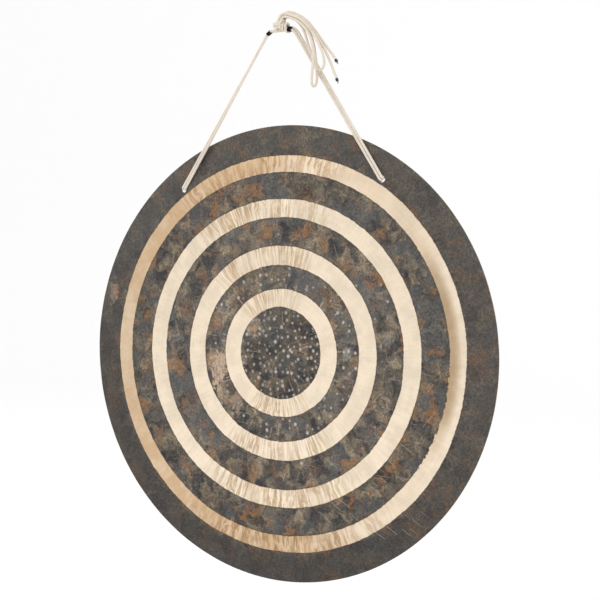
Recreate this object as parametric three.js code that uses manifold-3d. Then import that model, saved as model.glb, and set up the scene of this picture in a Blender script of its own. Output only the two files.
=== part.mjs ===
// Sun gong hanging on its doubled suspension cord.
// Millimetres, +Z up, the struck face towards -Y. The origin is where the cord rests on its hook.

import * as THREE from 'three';
import { mergeVertices } from 'three/addons/utils/BufferGeometryUtils.js';
import Module from 'manifold-3d';

const wasm = await Module();
wasm.setup();

const degree = Math.PI / 180;
const rightAngle = 90 * degree;

// Bronze disc
const gongRadius = 350;
const plateThickness = 2;
const domeHeight = 8;
const domePower = 6;
const rimDrop = 141.4;
const discSides = 96;
const discRingShares = [0.35, 0.55, 0.7, 0.8, 0.86, 0.91, 0.96, 1];

// Cord holes
const holeInset = 37.5;
const holeAngles = { left: 34.5 * degree, right: 33 * degree };
const holeDiameter = 10;
const holeSides = 32;

// Cord
const strandDiameter = 4;
const strandSides = 8;
const strandGap = 0.3;
const faceGap = 0.3;
const hookTurnRadius = 3;
const legStep = 12;

// Stretch of the cord that lies on the hook
const saddleLeftReach = 11;
const saddleRightReach = 10;

// Tape bands and end whippings
const tapeLength = 6.4;
const tapeThickness = 0.5;
const tapeClearance = 0.75;
const whippingLength = 8;
const whippingRootRadius = 2.3;
const whippingTipRadius = 3.1;
const whippingTipRound = 1.2;
const whippingSides = 12;

// Knot
const knotCore = { x: 0.5, z: 11, width: 24, depth: 19, height: 17 };
const knotLobe = { x: 8.8, z: 4.2, width: 12, depth: 17, height: 15.2 };
const knotTurns = [
  { x: 11.2, z: 4.2, radius: 5.8, tilt: 6 * degree, swivel: 4 * degree },
  { x: -0.6, z: 11.4, radius: 7.6, tilt: 62 * degree, swivel: -18 * degree },
  { x: 0.4, z: 11.6, radius: 7.8, tilt: -48 * degree, swivel: 16 * degree },
];
const knotSides = 20;
const knotTurnSides = 24;
const knotBoreSides = 24;
const knotBoreClearance = 1.2;
const throat = { x: 2.6, z: 19.5, lean: 27 * degree, width: 13.4, height: 9, length: 7 };

// Values that follow from the sizes above
const strandRadius = strandDiameter / 2;
const strandPitch = strandDiameter + strandGap;
const saddleHeight = strandRadius;
const gongDrop = rimDrop + gongRadius;
const holeReach = gongRadius - holeInset;
const discDepth = domeHeight * (1 - 2 / (domePower + 2));
const holes = Object.fromEntries(Object.entries(holeAngles).map(([name, angle]) => {
  const side = name === 'left' ? -1 : 1;
  return [side, { x: side * holeReach * Math.sin(angle), z: holeReach * Math.cos(angle) - gongDrop }];
}));
const plateAtHole = plateDepth(holeReach);
const legDepth = plateAtHole - plateThickness / 2 - faceGap - strandRadius;
const rearDepth = plateAtHole + plateThickness / 2 + faceGap + strandRadius;

// Routes of the cord. The legs are taut, so only their bend over the hook is listed: x, z and the pair's twist.
const crownRoutes = {
  left: [
    [-26.6, -8.1, -69 * degree],
    [-24.6, -5.0, -71 * degree],
    [-22.2, -2.3, -74 * degree],
    [-19.4, -0.2, -75 * degree],
    [-16.6, 1.6, -77 * degree],
    [-14.4, 2.2, -85 * degree],
    [-12.6, 2.0, -90 * degree],
    [-11.3, 2.0, -90 * degree],
  ],
  right: [
    [31.2, -8.0, -28 * degree],
    [28.8, -4.2, -30 * degree],
    [25.9, -0.8, -33 * degree],
    [22.2, 2.0, -37 * degree],
    [18.5, 2.7, -40 * degree],
    [14.8, 2.8, -44 * degree],
    [12.4, 2.2, -68 * degree],
    [11.0, 2.0, -90 * degree],
    [10.3, 2.0, -90 * degree],
  ],
};

const upperTailRoute = [
  [0.5, 4.4, 20.6], [1.3, 4.4, 21.9], [3.0, 4.4, 24.8], [4.9, 4.4, 27.2], [7.9, 4.3, 29.2],
  [12.0, 4.1, 29.7], [17.0, 3.6, 28.7], [27.4, 2.6, 24.6], [37.7, 1.2, 18.9], [47.1, -0.5, 11.6],
  [56.8, -2.2, 1.8], [66.2, -4.0, -9.4], [74.8, -5.5, -20.3], [83.1, -6.8, -30.5], [90.3, -7.9, -39.2],
  [96.0, -8.8, -46.2], [98.9, -9.3, -50.6],
];

const lowerTailRoute = [
  [0.5, 0.0, 20.6], [1.3, 0.0, 21.9], [3.0, 0.0, 24.4], [5.1, 0.0, 26.1], [8.2, -0.1, 27.4],
  [12.6, -0.4, 27.1], [21.2, -1.2, 24.2], [31.9, -2.5, 19.8], [41.6, -4.2, 14.4], [49.9, -6.0, 7.0],
  [58.2, -7.6, -2.1], [66.4, -9.0, -12.2], [73.9, -10.0, -22.7], [80.6, -10.8, -33.3], [86.3, -11.4, -43.6],
  [91.5, -12.0, -54.0], [96.0, -12.5, -64.3], [100.0, -13.0, -73.4], [102.5, -13.3, -79.2],
];

const outerBightRoute = [
  [0.5, -4.4, 20.6], [1.3, -4.4, 21.9], [3.1, -4.4, 24.1], [5.4, -4.4, 25.5], [8.5, -4.5, 26.1],
  [13.3, -4.8, 25.2], [22.9, -6.0, 22.0], [32.9, -7.6, 17.7], [42.1, -9.2, 12.0], [50.5, -11.0, 4.7],
  [58.5, -12.8, -4.1], [66.1, -14.4, -13.7], [73.1, -16.0, -24.4], [79.3, -17.3, -35.5], [83.5, -18.2, -46.4],
  [84.8, -18.2, -55.8], [82.2, -17.2, -62.6], [76.2, -14.6, -65.4], [70.2, -12.1, -62.6], [67.8, -11.0, -54.7],
  [66.4, -10.8, -44.5], [65.1, -10.6, -35.5], [63.0, -10.2, -26.3], [59.8, -9.6, -17.0], [55.2, -8.6, -7.8],
  [48.9, -7.4, 0.8], [41.3, -5.8, 8.5], [32.4, -4.0, 14.6], [23.1, -2.2, 19.0], [16.0, -1.0, 21.3],
  [11.8, -0.4, 22.1], [9.0, -0.1, 22.2], [6.9, 0.0, 21.3], [5.2, 0.0, 19.6], [4.6, 0.0, 18.5],
];

const lowerBightRoute = [
  [4.6, 4.4, 18.5], [5.2, 4.4, 19.6], [6.9, 4.4, 21.3], [9.0, 4.4, 22.2], [11.9, 4.1, 22.1],
  [16.5, 3.5, 20.9], [24.4, 2.0, 16.8], [32.2, 0.2, 10.5], [39.1, -1.8, 2.5], [44.4, -4.0, -6.8],
  [48.6, -6.0, -16.5], [52.4, -7.2, -26.0], [56.2, -7.6, -35.5], [59.8, -7.7, -44.8], [63.4, -7.6, -54.2],
  [66.1, -7.4, -63.6], [66.9, -7.2, -72.6], [66.4, -7.2, -80.2], [65.9, -9.6, -86.4], [65.6, -15.4, -88.9],
  [65.9, -21.1, -86.4], [66.5, -23.5, -80.2], [67.2, -23.6, -71.4], [67.9, -23.6, -62.2], [68.5, -23.1, -53.0],
  [68.4, -22.2, -43.7], [67.2, -20.9, -34.5], [64.7, -19.1, -25.1], [60.5, -17.0, -15.5], [54.8, -14.8, -6.7],
  [47.8, -12.5, 1.4], [39.9, -10.2, 8.3], [31.2, -8.4, 13.7], [22.7, -6.8, 17.6], [15.4, -5.3, 20.2],
  [11.4, -4.7, 21.3], [8.8, -4.4, 21.7], [6.9, -4.4, 21.1], [5.2, -4.4, 19.6], [4.6, -4.4, 18.5],
];

// Finishes
const bronze = { color: 0x6b5744, roughness: 0.42, metalness: 0.85 };
const creamCord = { color: 0xe8ddc6, roughness: 0.9, metalness: 0 };
const blackTape = { color: 0x1c1917, roughness: 0.6, metalness: 0 };
const darkWhipping = { color: 0x3a2c22, roughness: 0.85, metalness: 0 };

// Shared geometry

// A curve with one section at each of its points, however close together they are.
class PointwiseCurve extends THREE.CatmullRomCurve3 {
  getUtoTmapping(share) {
    return share;
  }
}

function solid(geometry) {
  const bare = geometry.clone();
  bare.deleteAttribute('normal');
  bare.deleteAttribute('uv');
  const merged = mergeVertices(bare);
  const vertProperties = new Float32Array(merged.attributes.position.array);
  const triVerts = new Uint32Array(merged.index.array);
  return new wasm.Manifold(new wasm.Mesh({ numProp: 3, vertProperties, triVerts }));
}

function geometryOf(body) {
  const { vertProperties, triVerts } = body.getMesh();
  const geometry = new THREE.BufferGeometry();
  geometry.setAttribute('position', new THREE.BufferAttribute(vertProperties, 3));
  geometry.setIndex(new THREE.BufferAttribute(triVerts, 1));
  geometry.computeVertexNormals();
  return geometry;
}

function piece(name, geometry, finish) {
  const mesh = new THREE.Mesh(geometry, new THREE.MeshStandardMaterial(finish));
  mesh.name = name;
  return mesh;
}

function strandSection() {
  const section = new THREE.Shape();
  for (let side = 0; side < strandSides; side += 1) {
    const angle = (side / strandSides) * 4 * rightAngle;
    const across = strandRadius * Math.cos(angle);
    const up = strandRadius * Math.sin(angle);
    if (side === 0) {
      section.moveTo(across, up);
    } else {
      section.lineTo(across, up);
    }
  }
  section.closePath();
  return section;
}

function strandAlong(points) {
  const extrudePath = new PointwiseCurve(points, false, 'centripetal');
  return new THREE.ExtrudeGeometry(strandSection(), { steps: points.length - 1, extrudePath });
}

function vectors(route) {
  return route.map(([x, y, z]) => new THREE.Vector3(x, y, z));
}

// Bronze disc

// Depth of the plate's middle surface at a distance from its centre, counted from the disc's centre of mass.
function plateDepth(reach) {
  return discDepth - domeHeight * (1 - (reach / gongRadius) ** domePower);
}

function gongDisc() {
  const front = [0, ...discRingShares].map((share) => {
    const reach = share * gongRadius;
    return new THREE.Vector2(reach, plateDepth(reach) - plateThickness / 2);
  });
  const back = front.map(({ x, y }) => new THREE.Vector2(x, y + plateThickness)).reverse();
  let body = solid(new THREE.LatheGeometry([...front, ...back], discSides));
  const drillLength = 4 * (plateThickness + domeHeight);
  for (const side of [-1, 1]) {
    const drill = new THREE.CylinderGeometry(holeDiameter / 2, holeDiameter / 2, drillLength, holeSides);
    drill.translate(holes[side].x, plateAtHole, holes[side].z + gongDrop);
    body = body.subtract(solid(drill));
  }
  const geometry = geometryOf(body);
  geometry.translate(0, 0, -gongDrop);
  return piece('gong_disc', geometry, bronze);
}

// Legs of the cord, from the holes up to the hook

// Direction of a leg's straight stretch, from its hole to the bend over the hook.
function legDirection(side) {
  const [topX, topZ] = crownRoutes[side < 0 ? 'left' : 'right'][0];
  return new THREE.Vector3(topX - holes[side].x, 0, topZ - holes[side].z).normalize();
}

// Unit vector from the outer to the inner strand of a pair that runs along a direction and has twisted by an angle.
function pairAcross(along, side, twist) {
  const inward = new THREE.Vector3(-side * along.z, 0, side * along.x).normalize();
  const across = inward.multiplyScalar(Math.cos(twist));
  across.y = Math.sin(twist);
  return across;
}

// Where one strand of a pair runs through the plate: strand is -1 for the outer one and 1 for the inner one.
function holePoint(side, strand) {
  const offset = pairAcross(legDirection(side), side, 0).multiplyScalar((strand * strandPitch) / 2);
  return new THREE.Vector3(holes[side].x, 0, holes[side].z).add(offset);
}

function legAxis(side) {
  const crown = crownRoutes[side < 0 ? 'left' : 'right'];
  const [topX, topZ, topTwist] = crown[0];
  const foot = new THREE.Vector3(holes[side].x, legDepth, holes[side].z);
  foot.addScaledVector(legDirection(side), hookTurnRadius);
  const top = new THREE.Vector3(topX, 0, topZ);
  const steps = Math.round(foot.distanceTo(top) / legStep);
  const stations = [];
  for (let step = 0; step < steps; step += 1) {
    const share = step / steps;
    stations.push({ point: foot.clone().lerp(top, share), twist: share * topTwist });
  }
  for (const [x, z, twist] of crown) {
    stations.push({ point: new THREE.Vector3(x, 0, z), twist });
  }
  return stations;
}

function legTube(side, strand) {
  const stations = legAxis(side);
  const last = stations.length - 1;
  const points = stations.map(({ point, twist }, index) => {
    const before = stations[Math.max(index - 1, 0)].point;
    const after = stations[Math.min(index + 1, last)].point;
    const along = after.clone().sub(before).normalize();
    const across = pairAcross(along, side, twist);
    return point.clone().addScaledVector(across, (strand * strandPitch) / 2);
  });
  const ball = new THREE.SphereGeometry(strandRadius, strandSides, strandSides);
  ball.translate(...points[0].toArray());
  return geometryOf(solid(strandAlong(points)).add(solid(ball)));
}

// Strands across the back, from the front of one hole to the front of the other

function rearTube(strand) {
  const pivotAngle = 60 * degree;
  const turnSteps = 4;
  const half = (side) => {
    const heightAtBack = holes[side].z - (strand * strandPitch) / 2;
    const hole = holePoint(side, strand);
    const along = legDirection(side);
    const points = [];
    for (const angle of [pivotAngle, (pivotAngle + rightAngle) / 2, rightAngle]) {
      const point = hole.clone().addScaledVector(along, hookTurnRadius * (1 - Math.sin(angle)));
      point.y = legDepth + hookTurnRadius * (1 - Math.cos(angle));
      points.push(point);
    }
    for (let step = 0; step <= turnSteps; step += 1) {
      const angle = (step / turnSteps) * rightAngle;
      const inward = hookTurnRadius * (1 - Math.cos(angle));
      const depth = rearDepth - hookTurnRadius * (1 - Math.sin(angle));
      const levelShare = Math.sin(Math.min(2 * angle, rightAngle));
      const height = THREE.MathUtils.lerp(hole.z, heightAtBack, levelShare);
      points.push(new THREE.Vector3(hole.x - side * inward, depth, height));
    }
    return points;
  };
  const left = half(-1);
  const right = half(1).reverse();
  const start = left[left.length - 1];
  const steps = Math.round(start.distanceTo(right[0]) / legStep);
  const straight = [];
  for (let step = 1; step < steps; step += 1) {
    straight.push(start.clone().lerp(right[0], step / steps));
  }
  return strandAlong([...left, ...straight, ...right]);
}

// Saddle, the two strands that lie on the hook

function saddleTube(row) {
  const depth = (row * strandPitch) / 2;
  return strandAlong([
    new THREE.Vector3(-saddleLeftReach, depth, saddleHeight),
    new THREE.Vector3((saddleRightReach - saddleLeftReach) / 2, depth, saddleHeight),
    new THREE.Vector3(saddleRightReach, depth, saddleHeight),
  ]);
}

// Knot over the saddle

function ellipsoid({ x, z, width, depth, height }) {
  const geometry = new THREE.SphereGeometry(1, knotSides, knotSides / 2);
  geometry.scale(width / 2, depth / 2, height / 2);
  geometry.translate(x, 0, z);
  return solid(geometry);
}

function knotTurn({ x, z, radius, tilt, swivel }) {
  const geometry = new THREE.TorusGeometry(radius, strandRadius, strandSides, knotTurnSides);
  geometry.rotateY(rightAngle);
  geometry.rotateZ(swivel);
  geometry.rotateY(tilt);
  geometry.translate(x, 0, z);
  return solid(geometry);
}

function hitchKnot() {
  let body = ellipsoid(knotCore).add(ellipsoid(knotLobe));
  for (const turn of knotTurns) {
    body = body.add(knotTurn(turn));
  }
  const collar = new THREE.BoxGeometry(throat.height, throat.width, throat.length);
  collar.translate(0, 0, -throat.length / 2 - faceGap);
  collar.rotateY(throat.lean);
  collar.translate(throat.x, 0, throat.z);
  body = body.add(solid(collar));
  const boreRadius = strandPitch / 2 + strandRadius + knotBoreClearance;
  const boreLength = 2 * (knotCore.width + knotLobe.width);
  const bore = new THREE.CylinderGeometry(boreRadius, boreRadius, boreLength, knotBoreSides);
  bore.rotateZ(rightAngle);
  bore.translate(0, 0, saddleHeight);
  const above = new THREE.BoxGeometry(boreLength, boreLength, boreLength);
  above.rotateY(throat.lean);
  const lift = boreLength / 2 - faceGap;
  above.translate(throat.x + lift * Math.sin(throat.lean), 0, throat.z + lift * Math.cos(throat.lean));
  body = body.subtract(solid(bore)).subtract(solid(above));
  return piece('hitch_knot', geometryOf(body), creamCord);
}

// Tape bands on the two pairs beside the knot

function racetrack(Outline, halfLength, radius) {
  const outline = new Outline();
  outline.absarc(halfLength, 0, radius, -rightAngle, rightAngle, false);
  outline.absarc(-halfLength, 0, radius, rightAngle, 3 * rightAngle, false);
  outline.closePath();
  return outline;
}

function tapeBand(name, side, station) {
  const crown = crownRoutes[side < 0 ? 'left' : 'right'];
  const [x, z, twist] = crown[station];
  const [beforeX, beforeZ] = crown[station - 1];
  const [afterX, afterZ] = crown[station + 1];
  const along = new THREE.Vector3(afterX - beforeX, 0, afterZ - beforeZ).normalize();
  const across = pairAcross(along, side, twist);
  const third = along.clone().cross(across);
  const bore = strandRadius + tapeClearance;
  const band = racetrack(THREE.Shape, strandPitch / 2, bore + tapeThickness);
  band.holes.push(racetrack(THREE.Path, strandPitch / 2, bore));
  const geometry = new THREE.ExtrudeGeometry(band, {
    depth: tapeLength, bevelEnabled: false, curveSegments: strandSides,
  });
  geometry.translate(0, 0, -tapeLength / 2);
  geometry.applyMatrix4(new THREE.Matrix4().makeBasis(across, third, along));
  geometry.translate(x, 0, z);
  return piece(name, geometry, blackTape);
}

// Tails and bights of the slipped knot

function looseStrand(name, route) {
  return piece(name, strandAlong(vectors(route)), creamCord);
}

function tailWhipping(name, route) {
  const [before, end] = vectors(route.slice(-2));
  const along = end.clone().sub(before).normalize();
  const profile = [
    new THREE.Vector2(0, 0),
    new THREE.Vector2(whippingRootRadius, 0),
    new THREE.Vector2(whippingTipRadius, whippingLength - whippingTipRound),
    new THREE.Vector2(whippingTipRadius - whippingTipRound, whippingLength),
    new THREE.Vector2(0, whippingLength),
  ];
  const mesh = piece(name, new THREE.LatheGeometry(profile, whippingSides), darkWhipping);
  mesh.quaternion.setFromUnitVectors(new THREE.Vector3(0, 1, 0), along);
  mesh.position.copy(end).addScaledVector(along, faceGap);
  return mesh;
}

// Assembly

const saddle = new THREE.Group();
saddle.add(piece('saddle_front_strand', saddleTube(-1), creamCord));
saddle.add(piece('saddle_rear_strand', saddleTube(1), creamCord));

const suspension = new THREE.Group();
for (const [sideName, side] of [['left', -1], ['right', 1]]) {
  for (const [strandName, strand] of [['outer', -1], ['inner', 1]]) {
    suspension.add(piece(`${sideName}_${strandName}_leg`, legTube(side, strand), creamCord));
  }
}
suspension.add(hitchKnot());
suspension.add(tapeBand('left_tape_band', -1, 3));
suspension.add(tapeBand('right_tape_band', 1, 4));
suspension.add(looseStrand('upper_tail', upperTailRoute));
suspension.add(looseStrand('lower_tail', lowerTailRoute));
suspension.add(looseStrand('outer_bight', outerBightRoute));
suspension.add(looseStrand('lower_bight', lowerBightRoute));
suspension.add(tailWhipping('upper_tail_whipping', upperTailRoute));
suspension.add(tailWhipping('lower_tail_whipping', lowerTailRoute));

const disc = new THREE.Group();
disc.add(gongDisc());
disc.add(piece('rear_upper_strand', rearTube(-1), creamCord));
disc.add(piece('rear_lower_strand', rearTube(1), creamCord));

const group = new THREE.Group();
group.add(saddle, suspension, disc);

export default group;
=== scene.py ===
"""Visual model of a sun gong on its suspension cord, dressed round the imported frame.

Metres, +Z up, the struck face towards -Y. The origin is where the cord rests on its hook.
"""

import logging
import math
from dataclasses import dataclass, field
from enum import Enum
from functools import reduce
from typing import Any, Iterable, Sequence

import bpy
import numpy as np
from mathutils import Matrix, Vector


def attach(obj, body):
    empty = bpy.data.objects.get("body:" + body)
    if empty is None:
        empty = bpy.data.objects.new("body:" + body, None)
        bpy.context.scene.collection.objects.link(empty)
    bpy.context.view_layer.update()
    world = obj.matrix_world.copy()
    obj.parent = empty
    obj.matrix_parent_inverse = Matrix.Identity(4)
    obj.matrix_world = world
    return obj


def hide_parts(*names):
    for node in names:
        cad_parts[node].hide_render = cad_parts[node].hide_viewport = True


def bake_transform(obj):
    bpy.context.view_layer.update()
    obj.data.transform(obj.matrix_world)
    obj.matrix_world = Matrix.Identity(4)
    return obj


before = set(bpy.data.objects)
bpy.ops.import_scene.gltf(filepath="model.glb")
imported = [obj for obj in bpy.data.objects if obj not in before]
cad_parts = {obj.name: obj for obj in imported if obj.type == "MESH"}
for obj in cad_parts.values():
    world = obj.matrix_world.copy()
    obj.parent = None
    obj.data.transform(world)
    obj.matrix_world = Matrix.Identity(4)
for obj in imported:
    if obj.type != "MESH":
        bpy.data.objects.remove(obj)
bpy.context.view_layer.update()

log = logging.getLogger("sun_gong")

Point = tuple[float, float, float]
Colour = tuple[float, float, float]
Axes = tuple[Vector, Vector, Vector]

MILLIMETRE = 0.001
RIGHT_ANGLE = math.radians(90)
FULL_TURN = 4 * RIGHT_ANGLE
FORWARD = Vector((0, -1, 0))


class Body(str, Enum):
    """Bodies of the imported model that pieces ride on."""

    SADDLE = "saddle"
    SUSPENSION = "suspension"
    DISC = "disc"


class Slot(str, Enum):
    """Material slots of the record."""

    BRONZE = "bronze"
    CORD = "cord"
    TAPE = "tape"
    WHIPPING = "whipping"


# Node trees


class NodeSheet:
    """A node tree that is being laid out, with one method for each kind of node that it uses."""

    def __init__(self, tree: bpy.types.NodeTree) -> None:
        """Starts on a tree.

        Args:
            tree: The material's, world's or group's node tree.
        """
        self.tree = tree

    def add(self, kind: str, **settings: Any) -> bpy.types.Node:
        """Adds a node.

        Args:
            kind: The node's type, without the prefix that all shader nodes share.
            settings: Properties to set on it.

        Returns:
            The new node.
        """
        node = self.tree.nodes.new("ShaderNode" + kind)
        for name, value in settings.items():
            setattr(node, name, value)
        return node

    def feed(self, socket: bpy.types.NodeSocket, value: Any) -> None:
        """Links a socket, or sets it where the value is a number, vector or colour.

        Args:
            socket: The input socket.
            value: An output socket, or a constant.
        """
        if isinstance(value, bpy.types.NodeSocket):
            self.tree.links.new(value, socket)
        elif isinstance(value, tuple) and len(value) == 3 and socket.type == "RGBA":
            socket.default_value = (*value, 1)
        else:
            socket.default_value = value

    def math(self, operation: str, *values: Any, clamp: bool = False) -> bpy.types.NodeSocket:
        """Adds a math node.

        Args:
            operation: The node's operation.
            values: Its inputs, sockets or numbers.
            clamp: Whether the result stays between 0 and 1.

        Returns:
            Its output.
        """
        node = self.add("Math", operation=operation, use_clamp=clamp)
        for socket, value in zip(node.inputs, values):
            self.feed(socket, value)
        return node.outputs[0]

    def vector_math(self, operation: str, *values: Any) -> bpy.types.NodeSocket:
        """Adds a vector math node.

        Args:
            operation: The node's operation.
            values: Its inputs, sockets or vectors.

        Returns:
            Its vector output, or its value output where the operation gives a number.
        """
        node = self.add("VectorMath", operation=operation)
        for socket, value in zip(node.inputs, values):
            self.feed(socket, value)
        return node.outputs["Value" if operation in ("LENGTH", "DISTANCE", "DOT_PRODUCT") else "Vector"]

    def times(self, *values: Any) -> bpy.types.NodeSocket:
        """Returns the product of sockets or numbers."""
        return reduce(lambda left, right: self.math("MULTIPLY", left, right), values)

    def plus(self, *values: Any) -> bpy.types.NodeSocket:
        """Returns the sum of sockets or numbers."""
        return reduce(lambda left, right: self.math("ADD", left, right), values)

    def minus(self, first: Any, second: Any) -> bpy.types.NodeSocket:
        """Returns the first socket or number less the second."""
        return self.math("SUBTRACT", first, second)

    def scaled(self, vector: Any, factor: float) -> bpy.types.NodeSocket:
        """Returns a vector times a number."""
        return self.vector_math("MULTIPLY", vector, (factor, factor, factor))

    def toned(self, colour: Any, tone: Any) -> bpy.types.NodeSocket:
        """Returns a colour whose three parts are multiplied by one number."""
        return self.vector_math("MULTIPLY", colour, self.combine(tone, tone, tone))

    def combine(self, x: Any, y: Any, z: Any) -> bpy.types.NodeSocket:
        """Makes a vector of its parts.

        Args:
            x: The first part, a socket or number.
            y: The second part.
            z: The third part.

        Returns:
            The vector.
        """
        node = self.add("CombineXYZ")
        for socket, value in zip(node.inputs, (x, y, z)):
            self.feed(socket, value)
        return node.outputs[0]

    def separate(self, vector: Any) -> list[bpy.types.NodeSocket]:
        """Takes a vector apart.

        Args:
            vector: The vector's socket.

        Returns:
            Its three parts.
        """
        node = self.add("SeparateXYZ")
        self.feed(node.inputs[0], vector)
        return list(node.outputs)

    def noise(
        self, vector: Any, scale: float, detail: float = 2, roughness: float = 0.5
    ) -> bpy.types.NodeSocket:
        """Adds a noise texture.

        Args:
            vector: Where it is read.
            scale: Features to the metre, or to the unit of the vector.
            detail: Octaves.
            roughness: How strong the finer octaves are.

        Returns:
            Its value, around 0.5.
        """
        node = self.add("TexNoise", noise_dimensions="3D")
        return self.fill(node, Vector=vector, Scale=scale, Detail=detail, Roughness=roughness).outputs["Fac"]

    def span(
        self, value: Any, low: float, high: float, first: float = 0, last: float = 1
    ) -> bpy.types.NodeSocket:
        """Maps a range smoothly onto another.

        Args:
            value: The number to map.
            low: Where the range starts. It may be above its end.
            high: Where the range ends.
            first: The result at the start.
            last: The result at the end.

        Returns:
            The mapped number, held at both ends.
        """
        rising = low < high
        node = self.add("MapRange", interpolation_type="SMOOTHSTEP")
        ends = (low, high, first, last) if rising else (high, low, last, first)
        for socket, number in zip(node.inputs, (value, *ends)):
            self.feed(socket, number)
        return node.outputs[0]

    def mix(self, share: Any, first: Any, second: Any) -> bpy.types.NodeSocket:
        """Mixes two colours.

        Args:
            share: The share of the second colour.
            first: A colour or socket.
            second: A colour or socket.

        Returns:
            The mixed colour.
        """
        node = self.add("Mix", data_type="RGBA")
        self.feed(node.inputs[0], share)
        self.feed(node.inputs[6], first)
        self.feed(node.inputs[7], second)
        return node.outputs[2]

    def blend(self, share: Any, first: Any, second: Any) -> bpy.types.NodeSocket:
        """Blends two numbers.

        Args:
            share: The share of the second number.
            first: A number or socket.
            second: A number or socket.

        Returns:
            The blended number.
        """
        node = self.add("Mix", data_type="FLOAT")
        self.feed(node.inputs[0], share)
        self.feed(node.inputs[2], first)
        self.feed(node.inputs[3], second)
        return node.outputs[0]

    def ramp(self, value: Any, stops: Sequence[tuple[float, Colour]]) -> bpy.types.NodeSocket:
        """Adds a colour ramp.

        Args:
            value: The number that picks the colour.
            stops: Places and colours, in rising order.

        Returns:
            The colour.
        """
        node = self.add("ValToRGB")
        elements = node.color_ramp.elements
        while len(elements) < len(stops):
            elements.new(1)
        for element, (place, colour) in zip(elements, stops):
            element.position = place
            element.color = (*colour, 1)
        self.feed(node.inputs[0], value)
        return node.outputs[0]

    def levels(self, value: Any, stops: Iterable[tuple[float, float]]) -> bpy.types.NodeSocket:
        """Returns a ramp of grey levels at places in rising order."""
        return self.ramp(value, [(place, (level, level, level)) for place, level in stops])

    def bump(self, height: Any, depth: float, strength: float = 1) -> bpy.types.NodeSocket:
        """Adds a bump node.

        Args:
            height: The height map, from 0 to 1.
            depth: Metres between 0 and 1.
            strength: The bump's strength.

        Returns:
            The bent normal.
        """
        node = self.add("Bump")
        node.inputs["Strength"].default_value = strength
        node.inputs["Distance"].default_value = depth
        self.feed(node.inputs["Height"], height)
        return node.outputs[0]

    def fill(self, node: bpy.types.Node, **inputs: Any) -> bpy.types.Node:
        """Feeds inputs of a node.

        Args:
            node: The node.
            inputs: What its inputs are fed with by name, with underscores for spaces.

        Returns:
            The node.
        """
        for name, value in inputs.items():
            self.feed(node.inputs[name.replace("_", " ")], value)
        return node

    def use(self, group: bpy.types.NodeTree, **inputs: Any) -> bpy.types.Node:
        """Places a node group and feeds it with inputs by name."""
        return self.fill(self.add("Group", node_tree=group), **inputs)


@dataclass(frozen=True)
class Socket:
    """One socket of a shader node group."""

    name: str
    kind: str = "Float"
    default: Any = None


class SharedEffect:
    """A shader node group that several materials use."""

    title = ""
    inputs: tuple[Socket, ...] = ()
    outputs: tuple[Socket, ...] = ()

    def __init__(self) -> None:
        """Builds the group and its sockets."""
        self.tree = bpy.data.node_groups.new(self.title, "ShaderNodeTree")
        for direction, sockets in (("INPUT", self.inputs), ("OUTPUT", self.outputs)):
            for socket in sockets:
                made = self.tree.interface.new_socket(
                    socket.name, in_out=direction, socket_type="NodeSocket" + socket.kind
                )
                if socket.default is not None:
                    made.default_value = socket.default
        sheet = NodeSheet(self.tree)
        entry = self.tree.nodes.new("NodeGroupInput")
        leave = self.tree.nodes.new("NodeGroupOutput")
        results = self.lay_out(sheet, {socket.name: entry.outputs[socket.name] for socket in self.inputs})
        for name, value in results.items():
            sheet.feed(leave.inputs[name], value)

    def lay_out(self, sheet: NodeSheet, given: dict[str, Any]) -> dict[str, Any]:
        """Lays out the group's nodes.

        Args:
            sheet: The group's tree.
            given: The group's inputs by name.

        Returns:
            What each output is fed with.
        """
        raise NotImplementedError


class PolarPlace(SharedEffect):
    """Distance and direction from the disc's axis, with X and Z in the plane of the disc."""

    title = "polar_place"
    inputs = (Socket("Vector", "Vector"),)
    outputs = (Socket("Reach"), Socket("Heading", "Vector"), Socket("Turn"))

    def lay_out(self, sheet: NodeSheet, given: dict[str, Any]) -> dict[str, Any]:
        """Lays out the reach in metres, the unit heading and the turn in radians.

        Args:
            sheet: The group's tree.
            given: The group's inputs by name.

        Returns:
            The three places. The turn runs clockwise from the top.
        """
        flat = sheet.vector_math("MULTIPLY", given["Vector"], (1, 0, 1))
        x, _, z = sheet.separate(flat)
        return {
            "Reach": sheet.vector_math("LENGTH", flat),
            "Heading": sheet.vector_math("NORMALIZE", flat),
            "Turn": sheet.math("ARCTAN2", x, z),
        }


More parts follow.
